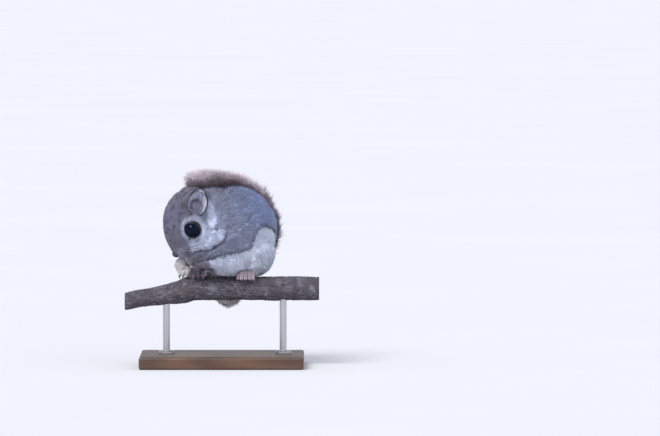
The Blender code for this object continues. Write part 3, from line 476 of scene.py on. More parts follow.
CHEEK_SIDE = (
    (-16.6, 53.6), (-11.5, 55.8), (-7.9, 42.8), (-7.9, 36.4), (-11.5, 28.4), (-17.3, 27.4),
    (-21.6, 27.7), (-23.8, 32.0), (-20.9, 35.3), (-17.3, 36.4), (-14.4, 40.7), (-14.4, 47.9),
)
EYE_STREAK = (
    (-20.9, 34.2), (-17.3, 35.3), (-14.4, 32.8), (-15.1, 29.2), (-18.0, 27.7), (-20.5, 29.9),
)
SNOUT = (
    (-44.6, 42.1), (-33.1, 42.1), (-28.1, 37.1), (-24.5, 32.8), (-22.3, 27.7), (-23.0, 23.4),
    (-37.4, 22.0), (-44.6, 26.3),
)
# The crease under the cheek: cut into the skin, with a line of painted shade along it
CHEEK_CREASE = (
    (-25.2, 23.0), (-22.3, 24.8), (-17.3, 27.1), (-10.1, 27.4), (-6.5, 29.9), (-2.9, 32.4),
    (0.6, 36.0), (1.8, 40.0),
)
# Lines of painted shade: in the notch above the cheek's lobe and along the ear's back edge
EAR_NOTCH = ((-11.2, 42.5), (-6.1, 42.5), (-4.7, 46.4))
EAR_SHADE = ((-17.3, 71.3), (-13.3, 70.6), (-10.8, 67.7), (-10.1, 64.4))
BELLY_LEFT = (
    (-21.6, 16.2), (-18.7, 18.4), (-16.6, 19.1), (-11.5, 20.5), (-6.5, 22.7), (2.2, 25.9),
    (10.8, 27.7), (18.0, 30.6), (21.6, 37.1), (23.8, 43.2), (25.6, 45.7), (28.8, 46.1),
    (33.1, 44.6), (36.0, 42.5), (38.9, 34.9), (43.2, 19.1), (49.0, -22.7), (-30.2, -22.7),
    (-25.9, 6.1),
)
FOLD_EDGE = (
    (-18.7, 18.4), (-11.5, 20.5), (-6.5, 22.7), (2.2, 25.9), (10.8, 27.7), (18.0, 30.6),
    (21.6, 37.1), (23.8, 43.2), (25.6, 46.1), (28.8, 46.4), (33.1, 45.0), (36.0, 42.8),
)
WRIST = (
    (-30.2, 25.6), (-25.2, 22.7), (-16.6, 19.8), (-10.8, 21.2), (-7.2, 19.8), (-6.5, 14.8),
    (-9.4, -1.1), (-33.1, -1.1),
)
BELLY_RIGHT = (
    (-30, 20), (-24, 20.5), (-17, 23.5), (-8, 25), (0, 26.5), (4.5, 29.5), (8, 34), (12, 22), (18, 8),
    (28, 2), (30, -30), (-30, -30),
)
# Outline, colour, softness and share of each marking of the head
HEAD_ZONES = (
    (SNOUT, "snout", 2.2, 0.85), (CHEEK_SIDE, "pale", 1.6, 0.3), (STRIPE, "cheek", 0.6, 1.0),
    (EYE_STREAK, "pale", 0.8, 0.9), (CHEEK_LOBE, "cheek", 0.6, 1.0),
)
# Painted shade: line, reach, tone and share of each dark line of the head, in the crease under the
# cheek, the notch above its lobe and along the ear's back edge
PAINTED_SHADE_LINES = ((CHEEK_CREASE, 1.3, 0.7, 0.8), (EAR_NOTCH, 0.8, 1.0, 0.5), (EAR_SHADE, 1.2, 1.0, 0.7))


def blend_marks(marks, points):
    """Colours mixed by exp(-(distance / reach)^2) of the nearest markings."""
    place = np.array([m[0] for m in marks], float)
    reach = np.array([m[1] for m in marks], float)
    colour = np.array([COAT[m[2]] for m in marks])
    near = ((points[:, None] - place[None]) ** 2).sum(-1) / (reach ** 2)
    weight = np.exp(-np.clip(near, 0, 60)) + 1e-12
    return (weight[..., None] * colour[None]).sum(1) / weight.sum(1, keepdims=True)


def line_gap(points, line):
    """Distance from flat places to an open line."""
    start = np.asarray(line[:-1], float)
    edge = np.asarray(line[1:], float) - start
    from_start = points[:, None] - start[None]
    t = np.clip((from_start * edge).sum(-1) / (edge ** 2).sum(-1), 0, 1)
    return np.linalg.norm(from_start - t[..., None] * edge, axis=-1).min(1)


def inside(points, outline, softness):
    """1 within a closed outline and 0 outside, changing over the softness on both sides of it."""
    start = np.asarray(outline, float)
    end = np.roll(start, -1, 0)
    gap = line_gap(points, np.vstack((start, start[:1])))
    x, z = points[:, :1], points[:, 1:]
    crosses = (start[:, 1] > z) != (end[:, 1] > z)
    rise = np.where(end[:, 1] == start[:, 1], 1e-9, end[:, 1] - start[:, 1])
    at = start[:, 0] + (z - start[:, 1]) / rise * (end[:, 0] - start[:, 0])
    within = (crosses & (x < at)).sum(1) % 2 == 1
    return smooth(-softness, softness, np.where(within, gap, -gap))


def side_view(points):
    """(x, z) as the left side shows them, for the head's marks and the trunk's, and head axes.

    The head's right side is mirrored to its left. Both outlines waver by 0.35 of the noise.
    """
    local = in_head(points)
    local[:, 1] = np.abs(local[:, 1])
    mirrored = np.asarray(NOSE_TIP) + local @ HEAD
    edge = np.stack((waves(points, 2.6, 71), waves(points, 2.6, 72)), -1) * 0.35
    return mirrored[:, (0, 2)] + edge, points[:, (0, 2)] + edge, local


def toned(colour, other, share):
    """One colour turned towards another by a share."""
    return colour * (1 - share[:, None]) + other * share[:, None]


def white_share(points, flat):
    """1 on the white of belly, thigh and lower chest, split sharply at the fold's free edge."""
    near_side = 1 - smooth(8, 16, points[:, 1])
    return inside(flat, BELLY_LEFT, 0.5) * near_side + inside(flat, BELLY_RIGHT, 1.2) * (1 - near_side)


def coat_colour(points):
    """The coat's colour at places on the skin: tones of head and trunk, then their markings.

    Painted shade darkens lines along the cheek's crease, the notch and the ear's back edge, and the
    fold's free edge is darkened by its own fur and by painted shade: each share is exp(-(distance /
    reach)^2).
    """
    seen, flat, local = side_view(points)
    side = smooth(3.5, 8, local[:, 1])
    fleck = smooth(0.25, 0.8, waves(local * (0.6, 1, 1), 2.4, 21))
    head = toned(blend_marks(HEAD_MARKS, local), COAT["dark"] * 0.8,
                 0.7 * fleck * smooth(3, 9, local[:, 2]))
    for outline, colour, softness, share in HEAD_ZONES:
        head = toned(head, COAT[colour], inside(seen, outline, softness) * side * share)
    ring = np.linalg.norm(local - EYE, axis=-1)
    rim = smooth(5.8, 6.6, ring) * (1 - smooth(7.6, 10.4, ring))
    head = toned(head, COAT["white"], 0.42 * rim)
    duct = np.exp(-(((local[:, 0] - 14.3) / 1.9) ** 2 + ((local[:, 2] + 1.6) / 1.2) ** 2)) * side
    head = toned(head, COAT["dark"] * 0.4, 0.9 * duct)
    wrist = inside(flat, WRIST, 1.8) * (1 - smooth(-8, -2, points[:, 1]))
    trunk = toned(blend_marks(TRUNK_MARKS, points), COAT["wrist"], 0.9 * wrist)
    white = white_share(points, flat)
    # Dark hem at the fold's free edge: its own darker fur and painted shade where it overhangs the white
    # belly
    hem = bell(line_gap(flat, FOLD_EDGE), 2.2) * (1 - white)
    trunk = toned(trunk, COAT["hem"], hem * (1 - smooth(8, 16, points[:, 1])))
    trunk = toned(trunk, COAT["white"], white * (1 - wrist))
    far_arm = bell(np.linalg.norm(points - (-29, 3, 17), axis=-1), 10)
    trunk = toned(trunk, COAT["far_arm"], far_arm)
    trunk = toned(trunk, COAT["far_arm"], 1 - smooth(-8, -4, points[:, 2]))
    colour = toned(trunk, head, inside(seen, HEAD_OUTLINE, 0.8))
    # Painted shade along the cheek's crease, the notch and the ear's back edge
    for line, reach, tone, share in PAINTED_SHADE_LINES:
        colour = toned(colour, COAT["dark"] * tone, share * (bell(line_gap(seen, line), reach) * side))
    mottle = 1 + 0.06 * waves(points, 9, 3) + 0.06 * waves(points, 3.0, 4)
    return np.clip(colour * mottle[:, None], 0.01, 0.95)


# Materials
class Finish:
    """A Principled material in the making; keyword names are sockets, with _ for a space."""

    def __init__(self, name, roughness, **sockets):
        self.material = bpy.data.materials.new(name)
        self.material.use_nodes = True
        self.nodes = self.material.node_tree.nodes
        self.links = self.material.node_tree.links
        self.shader = self.nodes["Principled BSDF"]
        self.fill(self.shader, Roughness=roughness, **sockets)
        self.place = self.add("TexCoord", "Object")

    def put(self, socket, value):
        """Link a socket to an output or give it a value; a colour of three becomes opaque."""
        if hasattr(value, "is_linked"):
            self.links.new(value, socket)
        else:
            socket.default_value = (*value, 1) if socket.type == "RGBA" else value

    def fill(self, node, **values):
        """Set a node's attributes, or its sockets where the name is a socket's."""
        for key, value in values.items():
            if hasattr(node, key):
                setattr(node, key, value)
            else:
                self.put(node.inputs[key.replace("_", " ")], value)

    def add(self, kind, output=0, *inputs, **values):
        """Add a node with its inputs in order or by name, and give one of its outputs."""
        node = self.nodes.new("ShaderNode" + kind)
        self.fill(node, **values)
        for k, value in enumerate(inputs):
            self.put(node.inputs[k], value)
        return node.outputs[output]

    def texture(self, kind="Noise", stretch=None, shift=(0, 0, 0), **values):
        """A texture at the object's own places, which are first scaled and shifted if asked."""
        place = self.place
        if stretch:
            place = self.add("Mapping", Vector=place, Location=shift, Scale=stretch)
        output = "Distance" if kind == "Voronoi" else "Fac"
        return self.add("Tex" + kind, output, Vector=place, **values)

    def mix(self, factor, first, second, blend="MIX"):
        """Two colours mixed by a factor; a Mix node has its colours at 6 and 7 and result at 2."""
        node = self.nodes.new("ShaderNodeMix")
        self.fill(node, data_type="RGBA", blend_type=blend)
        for socket, value in ((0, factor), (6, first), (7, second)):
            self.put(node.inputs[socket], value)
        return node.outputs[2]

    def done(self, colour, height=None, strength=0.0, distance=0.0):
        """Give the shader its colour and, from a height, its bump; return the material."""
        self.put(self.shader.inputs["Base Color"], colour)
        if height is not None:
            normal = self.add("Bump", "Normal", Strength=strength, Distance=distance, Height=height)
            self.put(self.shader.inputs["Normal"], normal)
        return self.material


def two_toned(name, roughness, tones, texture, bump=None, **sockets):
    """A material of two tones mixed by one texture, which drives the bump too, if there is one."""
    finish = Finish(name, roughness, **sockets)
    pattern = finish.texture(**texture)
    return finish.done(finish.mix(pattern, *tones), *((pattern, *bump) if bump else ()))


def coat_material(name, shade=1.0, roughness=0.8, sheen=0.25):
    """Hair: the coat attribute times a fine fleck of noise, dull, with a soft sheen."""
    finish = Finish(name, roughness, Sheen_Weight=sheen, Sheen_Roughness=0.45,
                    Specular_IOR_Level=0.25)
    colour = finish.add("Attribute", "Color", attribute_name="coat")
    fleck = finish.texture("Noise", Scale=1900.0, Detail=2.0)
    grey = finish.add("MapRange", Value=fleck, To_Min=0.8 * shade, To_Max=1.2 * shade)
    grey = finish.add("CombineColor", 0, grey, grey, grey)
    return finish.done(finish.mix(1.0, colour, grey, "MULTIPLY"), fleck, 0.25, 0.0003)


FUR = coat_material("fur")
SKIN = coat_material("furred_skin", shade=0.62, roughness=0.9, sheen=0.1)


def skin_material(name, colour, dark, scale=900.0, roughness=0.5):
    """Bare skin: two tones by noise, with the small wrinkles of pads as bump."""
    finish = Finish(name, roughness, Subsurface_Weight=0.12, Subsurface_Scale=0.001)
    tone = finish.mix(finish.texture("Noise", Scale=scale * 0.35, Detail=5.0), dark, colour)
    return finish.done(tone, finish.texture("Voronoi", Scale=scale), 0.35, 0.0003)


FOOT_SKIN = skin_material("foot_skin", linear(196, 180, 190), linear(150, 128, 138))
HAND_SKIN = skin_material("hand_skin", linear(126, 106, 116), linear(86, 66, 76))
# The nose pad's tones are darkened as painted shade, for the shadow it lies in at the tip of the bowed
# snout
NOSE_SKIN = skin_material("nose_skin", linear(78, 68, 76), linear(50, 43, 51), 1500, 0.42)
EAR_SKIN = skin_material("ear_skin", linear(168, 158, 174), linear(118, 110, 128), 500, 0.85)
LID_SKIN = skin_material("lid_skin", linear(46, 42, 52), linear(26, 24, 32), 1400, 0.35)
CLAW = two_toned("claw_horn", 0.3, (linear(46, 38, 40), linear(112, 98, 96)),
                 dict(Scale=700.0, Detail=3.0), (0.2, 0.0002), Coat_Weight=0.3)
# Dark eye: near black, its navy tint a painted reflection standing in for the blue sheen on it
EYE_BLACK = two_toned("dark_eye", 0.10, ((0.001, 0.003, 0.010), (0.002, 0.006, 0.020)),
                      dict(Scale=260.0, Detail=4.0), (0.02, 0.0001), IOR=1.2)
WHISKER = two_toned("whisker", 0.4, (linear(28, 26, 30), linear(70, 64, 68)), dict(Scale=300.0))

# Skin
body_parts = [ellipsoid(*form) for form in
              (TORSO, BELLY, CHEST, NECK, RUMP, HAUNCH_LEFT, HAUNCH_RIGHT)]
body_parts += [skull(), head_form(CHIN)]
body_parts += [head_form(form, side) for form in (CHEEK, LIP_PAD) for side in (1, -1)]
full_points, full_triangles = melt("full_form", body_parts, 0.8, 6)
full_normals = point_normals(full_points, full_triangles)


def relief(points):
    """Height of the skin over its plain form: 1.8 on the cheek's lobe, -1.4 in the crease."""
    seen, _, local = side_view(points)
    crease = bell(line_gap(seen, CHEEK_CREASE), 1.6)
    return (1.8 * inside(seen, CHEEK_LOBE, 1.6) - 1.4 * crease) * smooth(6, 10, local[:, 1])


core_points = full_points + full_normals * (relief(full_points) - coat_depth(full_points))[:, None]
core_tree = BVHTree.FromPolygons(core_points.tolist(), full_triangles.tolist())
full_tree = BVHTree.FromPolygons(full_points.tolist(), full_triangles.tolist())


def fold_of_skin(edge, root, side):
    """The gliding skin: places between root line and free edge dropped on the flank along Y.

    The outer wall stands off the flank by 2.2 (0.2 + 0.8 v^1.5) (0.55 + 0.45 sin(pi u)^0.5).
    """
    columns, rows = 70, 14
    start = spline([(x, 0, z) for x, z in root], columns)
    end = spline([(x, 0, z) for x, z in edge], columns)
    rings = []
    for i in range(columns):
        bulge = 0.55 + 0.45 * math.sin(math.pi * (i / (columns - 1))) ** 0.5
        outer, inner = [], []
        for j in range(rows):
            v = j / (rows - 1)
            x, _, z = start[i] * (1 - v) + end[i] * v
            place, normal, _, _ = core_tree.ray_cast(Vector((x, -100 * side, z)), Vector((0, side, 0)))
            outer.append(place + normal * (2.2 * (0.2 + 0.8 * v ** 1.5) * bulge))
            inner.append(place - normal * 1.5)
        rings.append(outer + inner[::-1])
    return closed_rings(np.array([[tuple(p) for p in ring] for ring in rings]))


skin_parts = [(core_points, full_triangles), fold_of_skin(SKIN_EDGE_LEFT, SKIN_ROOT_LEFT, 1),
              fold_of_skin(SKIN_EDGE_RIGHT, SKIN_ROOT_RIGHT, -1), tube(ARM_LEFT, ARM_RADII),
              tube(ARM_RIGHT, ARM_RADII)]
skin_points, skin_triangles = melt("skin_form", skin_parts, 0.62, 3)
skin_normals = point_normals(skin_points, skin_triangles)
skin = make_mesh("skin", skin_points, skin_triangles, SKIN, coat_colour(skin_points))
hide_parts("head", "neck", "torso", "thigh_left", "thigh_right", "foreleg_left",
            "foreleg_right", "patagium_left", "patagium_right")


# Tufts
def scatter(points, triangles, normals, count, weight):
    """Even random places on a surface, by area times a weight at each triangle's middle."""
    a, b, c = (points[triangles[:, k]] for k in range(3))
    area = np.linalg.norm(np.cross(b - a, c - a), axis=1) * weight
    total = np.cumsum(area)
    picks = (np.arange(count) + chance.random(count)) / count * total[-1]
    face = np.searchsorted(total, picks)
    r = np.sqrt(chance.random(count))[:, None]
    s = chance.random(count)[:, None]
    share = (1 - r, r * (1 - s), r * s)
    place = sum(w * points[triangles[face, k]] for k, w in enumerate(share))
    normal = unit(sum(w * normals[triangles[face, k]] for k, w in enumerate(share)))
    return place, normal


def tufts(root, normal, lie, length, width, lift, bend):
    """Tapered three-sided tufts with one bend.

    The middle line is root + (lie cos(lift) + normal sin(lift)) t L - normal bend t |t| L for
    shares t of -0.06, 0.5 and 1. Its width there is W, 0.85 W and 0, and its height 0.55 of that.
    """
    side = unit(np.cross(lie, normal))
    way = turned(lie, normal, lift)
    rows = []
    for t, fullness in ((-0.06, 1.0), (0.5, 0.85)):
        middle = root + way * (length * t)[:, None] - normal * (bend * length * t * abs(t))[:, None]
        half = (width * fullness / 2)[:, None]
        rows += [middle + side * half, middle - side * half, middle + normal * half * 2 * TUFT_HEIGHT]
    tip = root + way * length[:, None] - normal * (bend * length)[:, None]
    points = np.stack((*rows, tip), 1)
    base = np.array(((0, 1, 4), (0, 4, 3), (1, 2, 5), (1, 5, 4), (2, 0, 3), (2, 3, 5),
                     (3, 4, 6), (4, 5, 6), (5, 3, 6)))[:, ::-1]
    triangles = base[None] + (np.arange(len(root)) * 7)[:, None, None]
    return points.reshape(-1, 3), triangles.reshape(-1, 3)


def box_unwrap(points, normals, low, high):
    """Unfold by the six directions of a box: each side is one cell of a 3 by 2 sheet."""
    share = (points - low) / (high - low)
    axis = np.abs(normals).argmax(1)
    rows = np.arange(len(points))
    front = (normals[rows, axis] > 0).astype(float)
    first = np.where(axis == 0, share[:, 1], share[:, 0])
    second = np.where(axis == 2, share[:, 1], share[:, 2])
    return np.stack(((axis + 0.03 + 0.94 * first) / 3, (front + 0.03 + 0.94 * second) / 2), -1)


def tuft_uv(roots, normals, low, high):
    """A patch 0.003 across for every tuft, at its root's place on the unfolded skin."""
    middle = np.clip(box_unwrap(roots, normals, low, high), 0.004, 0.996)
    corner = np.array(((-1, -1), (1, -1), (0, -1), (-0.7, 0.2), (0.7, 0.2), (0, 0.2), (0, 1))) * 0.0015
    return (middle[:, None] + corner[None]).reshape(-1, 2)


def tuft_colours(base):
    """Colours of a tuft's seven points: 0.7 at the root, 1.12 at the tip, each tuft varied.

    One in ten is a dark streak and one in twelve a pale one. Bright fur varies much less.
    """
    own = 1 + 0.09 * chance.standard_normal(len(base))
    streak = chance.random(len(base))
    own *= np.where(streak < 0.10, 0.70, np.where(streak > 0.92, 1.14, 1.0))
    bright = smooth(0.4, 0.8, base.mean(1))[:, None]
    own = own[:, None] * (1 - 0.75 * bright) + 0.75 * bright
    along = np.array((0.7, 0.7, 0.7, 1, 1, 1, 1.12))[None]
    along = along * (1 - 0.7 * bright) + 0.7 * bright
    return np.clip(base[:, None] * (own * along)[..., None], 0.008, 0.97).reshape(-1, 3)


def trimmed(root, way, length, axis, limit):
    """Lengths cut where the tips would pass a limit along an axis."""
    room = (limit - root[:, axis]) / np.maximum(way[:, axis], 1e-3)
    return np.clip(length, 0.2, np.maximum(room, 0.2))


def sway(lie, normal, points, size, amount, seed):
    """Turn the lie on the skin by waves of noise, so that neighbouring hairs form locks."""
    angle = amount * waves(points, size, seed) + 0.10 * chance.standard_normal(len(points))
    return unit(turned(lie, np.cross(normal, lie), angle))


SKIN_BOX = (full_points.min(0), full_points.max(0))


def fur_pieces(name, hairs, box):
    """Make tufts in pieces small enough to stay whole, numbered from the first.

    The hairs are arrays of root, normal, lie, length, width, lift, bend and colour.
    """
    count = len(hairs[0])
    pieces = max(1, math.ceil(count / PIECE_TUFTS))
    for k in range(pieces):
        share = [a[k * count // pieces:(k + 1) * count // pieces] for a in hairs]
        points, triangles = tufts(*share[:-1])
        label = f"{name}_{k + 1}" if pieces > 1 else name
        obj = make_mesh(label, points, triangles, FUR, tuft_colours(share[-1]),
                        tuft_uv(share[0], share[1], *box))


def short_hair(name, root, normal, lie, length, width, lift, bend, colours, box=SKIN_BOX):
    """Fine hair of one width and bend, laid on its surface and lifted by least + range x chance."""
    count = len(root)
    least, reach = lift
    lifts = np.radians(least + reach * chance.random(count))
    hairs = (root, normal, laid(lie, normal), length, np.full(count, width), lifts,
             np.full(count, bend), np.broadcast_to(colours, (count, 3)))
    fur_pieces(name, hairs, box)


def grow_coat():
    """Grow the coat on head and trunk, shortest round nose, eyes and paws."""
    middle = skin_points[skin_triangles].mean(1)
    weight = 1 + 2.2 * head_share(middle) * (1 - smooth(20, 44, in_head(middle)[:, 0]))
    root, normal = scatter(skin_points, skin_triangles, skin_normals, COAT_TUFTS, weight)
    face = head_share(root)
    local = in_head(root)
    local[:, 1] = np.abs(local[:, 1])
    eye_gap = np.linalg.norm(local - EYE, axis=-1)
    nose_gap = np.linalg.norm((local - NOSE_PAD[0]) / NOSE_CLEARANCE, axis=-1)
    keep = (eye_gap > EYE_RADIUS + 0.25) & (nose_gap > 1)
    root, normal, local, face, eye_gap = (a[keep] for a in (root, normal, local, face, eye_gap))
    lie = sway(lie_of(root, normal), normal, root, 7, 0.20, 8)
    lie = sway(lie, normal, root, 2.6, 0.16, 9)
    count = len(root)
    head_length = 1.3 + 3.4 * smooth(3, 42, local[:, 0])
    trunk_length = 6.6 + 0.8 * waves(root, 12, 31)
    for path, least in ((ARM_LEFT, 0.45), (ARM_RIGHT, 0.8)):
        gap = np.linalg.norm(root[:, None] - spline(path[1:], 8)[None], axis=-1).min(1)
        trunk_length = trunk_length * (least + (1 - least) * smooth(3, 9, gap))
    length = head_length * face + trunk_length * (1 - face)
    length *= 1 - 0.45 * bell(eye_gap, 8.5, 4)
    seen, flat, _ = side_view(root)
    white = white_share(root, flat)
    hem = bell(line_gap(flat, FOLD_EDGE), 3.0) * (1 - smooth(8, 16, root[:, 1]))
    length *= 1 - hem * (0.35 * (1 - white) + 0.5 * white)
    length *= 1 - 0.22 * white
    length *= 1 + 0.55 * (1 - smooth(-9, -2, root[:, 2]))
    length *= 1 - 0.5 * bell(line_gap(seen, CHEEK_CREASE), 1.5)
    marked = np.maximum(inside(seen, CHEEK_LOBE, 1.0), inside(seen, STRIPE, 1.0))
    length *= 1 - 0.3 * (marked * smooth(6, 10, local[:, 1]))
    length *= chance.uniform(0.75, 1.2, count)
    width = (0.26 + 0.045 * length) * chance.uniform(0.8, 1.25, count)
    lift = np.radians(14 + 9 * (1 - face) - 4 * white + 5 * chance.standard_normal(count))
    bend = 0.12 + 0.08 * chance.random(count)
    hairs = (root, normal, lie, length, width, lift, bend, coat_colour(root))
    part = np.where(face > 0.5, 0, np.where(root[:, 2] > 40, 1, np.where(root[:, 1] < 12, 2, 3)))
    for k, (name, slot) in enumerate((("fur_head", "brown_fur"), ("fur_back", "grey_fur"),
                                      ("fur_flank", "white_fur"), ("fur_far_side", "grey_fur"))):
        fur_pieces(name, [a[part == k] for a in hairs], SKIN_BOX)


grow_coat()


# Tail
def tail_frame(count):
    """Middle line of the tail with the directions along, across and out from the trunk."""
    place = spline(TAIL_PATH, count)
    along = unit(np.gradient(place, axis=0))
    out = laid(place - np.asarray(TORSO[0]), along)
    return place, along, np.cross(along, out), out


def make_tail():
    """The tail: a thin flat core and long tufts that sweep out from its middle to both edges.

    The core's section is place + across s + out (d sin a - 0.012 s^2), where s = w cos a, and w
    and d are 0.42 of the half width and half depth. The tufts lean out by
    0.14 + 0.66 |cos a|^1.3 and are cut where they would pass the tail's top and far side.
    """
    rows, columns = 90, 40
    line = tail_frame(rows)
    place, _, across, out = line
    share = np.linspace(0, 1, rows)
    a = turns(columns)
    sideways = (read_along(TAIL_HALF_WIDTH, share) * TAIL_CORE)[:, None] * np.cos(a)[None]
    outward = ((read_along(TAIL_HALF_DEPTH, share) * TAIL_CORE)[:, None] * np.sin(a)[None]
               - TAIL_HOLLOW * sideways ** 2)
    rings = place[:, None] + across[:, None] * sideways[..., None] + out[:, None] * outward[..., None]
    top = smooth(0.3, 0.8, np.concatenate((np.repeat(share, columns), (0, 1))))[:, None]
    core = make_mesh("tail_core", *closed_rings(rings), SKIN,
                     COAT["tail_root"] * (1 - top) + COAT["tail_dark"] * top)
    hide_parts("tail_1", "tail_2", "tail_3", "tail_4")

    count = TAIL_TUFTS
    s = chance.beta(1.15, 1.0, count) * 0.985
    i = s * (rows - 1)
    k = i.astype(int)
    f = (i - k)[:, None]
    middle, along, across, out = (x[k] * (1 - f) + x[k + 1] * f for x in line)
    w = read_along(TAIL_HALF_WIDTH, s)
    d = read_along(TAIL_HALF_DEPTH, s)
    a = chance.uniform(0, math.tau, count)
    v, face = np.cos(a), np.sin(a)
    sideways = w * TAIL_CORE * v
    outward = d * 0.40 * face - TAIL_HOLLOW * sideways ** 2
    root = middle + across * sideways[:, None] + out * outward[:, None]
    end = smooth(0.80, 1.0, s)
    lean = 0.14 + 0.66 * np.abs(v) ** 1.3 + 0.1 * waves(root, 9, 41)
    lean += 0.07 * chance.standard_normal(count)
    lean *= 1 - 0.35 * end
    lie = unit(along * np.cos(lean)[:, None] + across * (np.sign(v) * np.sin(lean))[:, None])
    lie = unit(lie + chance.normal(0, 0.11, (count, 3)) + 0.14 * across * waves(root, 3.5, 43)[:, None])
    facing = np.where(face > 0, 1.0, -1.0) * (0.25 + np.abs(face))
    normal = laid(unit(out * facing[:, None] + across * (v * 0.3)[:, None]), lie)
    reach = 0.58 * w / np.maximum(np.sin(lean), 0.5)
    length = np.minimum(reach, 9.5 + 0.30 * w) * chance.uniform(0.62, 1.12, count)
    length *= 1 + 0.14 * waves(root, 4.5, 44)
    length *= 0.45 + 0.55 * smooth(0.0, 0.18, s)
    length *= 1 - 0.25 * end
    width = 0.5 * chance.uniform(0.8, 1.3, count)
    lift = 15 + 10 * end + 5 * (face < 0) + 7 * chance.standard_normal(count)
    lift += 5 * waves(root, 5, 45)
    lift *= 1 - 0.5 * bell(s - 0.66, 0.13) * (face > 0)
    lift = np.radians(np.clip(lift, 2, 50)) * (0.35 + 0.65 * np.abs(face))
    way = turned(lie, normal, lift)
    for axis, limit in ((2, TAIL_TOP), (1, TAIL_SIDE)):
        length = trimmed(root, way, length, axis, limit)
    bend = np.where(face < 0, 0.0, 0.16) + 0.06 * chance.standard_normal(count)
    colours = toned(np.repeat(COAT["tail_root"][None], count, 0), COAT["beige"], smooth(0.25, 0.7, s))
    # The tail's side towards the trunk is darker: its own dark brown fur and painted shade between tail
    # and trunk
    colours = toned(colours, COAT["tail_dark"], (1 - smooth(-0.5, 0.15, face)) * 0.85)
    colours = colours * (1 + 0.12 * waves(root, 6, 51) + 0.10 * waves(root, 2.5, 52))[:, None]
    fur_pieces("fur_tail", (root, normal, lie, length, width, lift, bend, colours),
               (place.min(0) - 20, place.max(0) + 20))


make_tail()


# Eyes, nose, ears
def eye_frame(side):
    """An eye's middle, its outward axis, the way to its inner corner and the third axis."""
    axis = unit(np.array(sided(EYE_AXIS, side)) @ HEAD)
    corner = -BACK - UP * 0.15
    corner = unit(corner - axis * (corner @ axis))
    return head_point(sided(EYE, side)), axis, corner, np.cross(axis, corner)


def make_eye(side, name):
    """Eyeball with a low cornea: radius 6.18 (1 + 0.03 exp(-(angle / 0.6)^2)) round its axis."""
    centre, axis, corner, other = eye_frame(side)
    v = np.linspace(0, math.pi, 44)[1:-1, None]
    u = turns(64)[None]
    radius = (EYE_RADIUS - 0.12) * (1 + 0.03 * bell(v, 0.6)) * np.ones_like(u)
    rings = (centre + (radius * np.sin(v) * np.cos(u))[..., None] * corner
             + (radius * np.sin(v) * np.sin(u))[..., None] * other
             + (radius * np.cos(v))[..., None] * axis)
    eye = make_mesh(name, *closed_rings(rings), EYE_BLACK)
    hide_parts(name)


def make_lid(side, name):
    """Bare rim of the lids: a ring whose radius grows by 0.16 exp(-(a / 0.35)^2) at the corner."""
    rows, columns = 96, 14
    centre, axis, corner, other = eye_frame(side)
    a = np.linspace(-math.pi, math.pi, rows, endpoint=False)
    at_corner = bell(a, 0.35)
    radius = LID_RADIUS * (1 + 0.16 * at_corner)
    stand = 2.0 - 0.9 * at_corner
    outward = corner * np.cos(a)[:, None] + other * np.sin(a)[:, None]
    b = turns(columns)
    thick = 0.42 + 0.08 * np.cos(2 * a)
    ring = (centre + outward[:, None] * (radius[:, None] + thick[:, None] * np.cos(b)[None])[..., None]
            + axis * (stand[:, None] + 1.3 * thick[:, None] * np.sin(b)[None])[..., None])
    points = ring.reshape(-1, 3)
    triangles = sheet_triangles(rows + 1, columns) % (rows * columns)
    lid = make_mesh(name, points, turned_out(points, triangles), LID_SKIN)


for side, label in ((1, "left"), (-1, "right")):
    make_eye(side, f"eye_{label}")
    make_lid(side, f"lid_{label}")


def make_nose():
    """Nose pad: an ellipsoid with a groove down its middle and a comma of nostril each side.

    On its front the groove is 0.35 exp(-(left / 0.35)^2) deep and a nostril
    1.2 exp(-((left - 1.55 - 0.25 up) / 0.62)^2 - ((up - 0.1) / 0.42)^2).
    """
    centre, radii = NOSE_PAD
    v = np.linspace(0, math.pi, 60)[1:-1, None]
    u = turns(84)[None]
    local = np.stack((-np.cos(v) * np.ones_like(u), np.sin(v) * np.cos(u), np.sin(v) * np.sin(u)), -1)
    local = local * np.asarray(radii)
    left, up = np.abs(local[..., 1]), local[..., 2]
    dent = 0.35 * bell(left, 0.35)
    dent = dent + 1.2 * np.exp(-((left - 1.55 - 0.25 * up) / 0.62) ** 2 - ((up - 0.1) / 0.42) ** 2)
    local[..., 0] += dent * smooth(0.3, -0.6, local[..., 0])
    nose = make_mesh("nose", *closed_rings(head_point(np.asarray(centre) + local)), NOSE_SKIN)
    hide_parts("nose")


make_nose()


def ear_sheet(side, wall=0.0):
    """One wall of the ear's cup: arcs of radius W sin(pi (0.14 + 0.78 u))^0.5 up its height."""
    root = head_point(sided(EAR_ROOT, side))
    tip = head_point(sided(EAR_TIP, side))
    height = np.linalg.norm(tip - root)
    upward = unit(tip - root)
    facing = LEFT * side - BACK * 0.75 + UP * 0.2
    facing = unit(facing - upward * (facing @ upward))
    across = np.cross(upward, facing)
    u = np.linspace(0, 1, EAR_ROWS)[:, None]
    v = np.linspace(-1, 1, EAR_COLUMNS)
    radius = EAR_WIDTH * np.sin(math.pi * (0.14 + 0.78 * u)) ** 0.5
    angle = np.radians(125 - 45 * u) * v[None]
    lean = 1.5 * np.sin(math.pi * u)
    centre = root + upward * (height * u[..., None]) + facing * (radius * 0.55 - lean)[..., None]
    reach = np.maximum(radius - 0.15 - wall * (0.55 + 0.45 * (1 - u)), 0.2)
    reach = reach - wall * 0.35 * np.sin(9 * angle) * (1 - np.abs(v)[None])
    offset = across * np.sin(angle)[..., None] - facing * np.cos(angle)[..., None]
    return centre + offset * reach[..., None], offset, upward


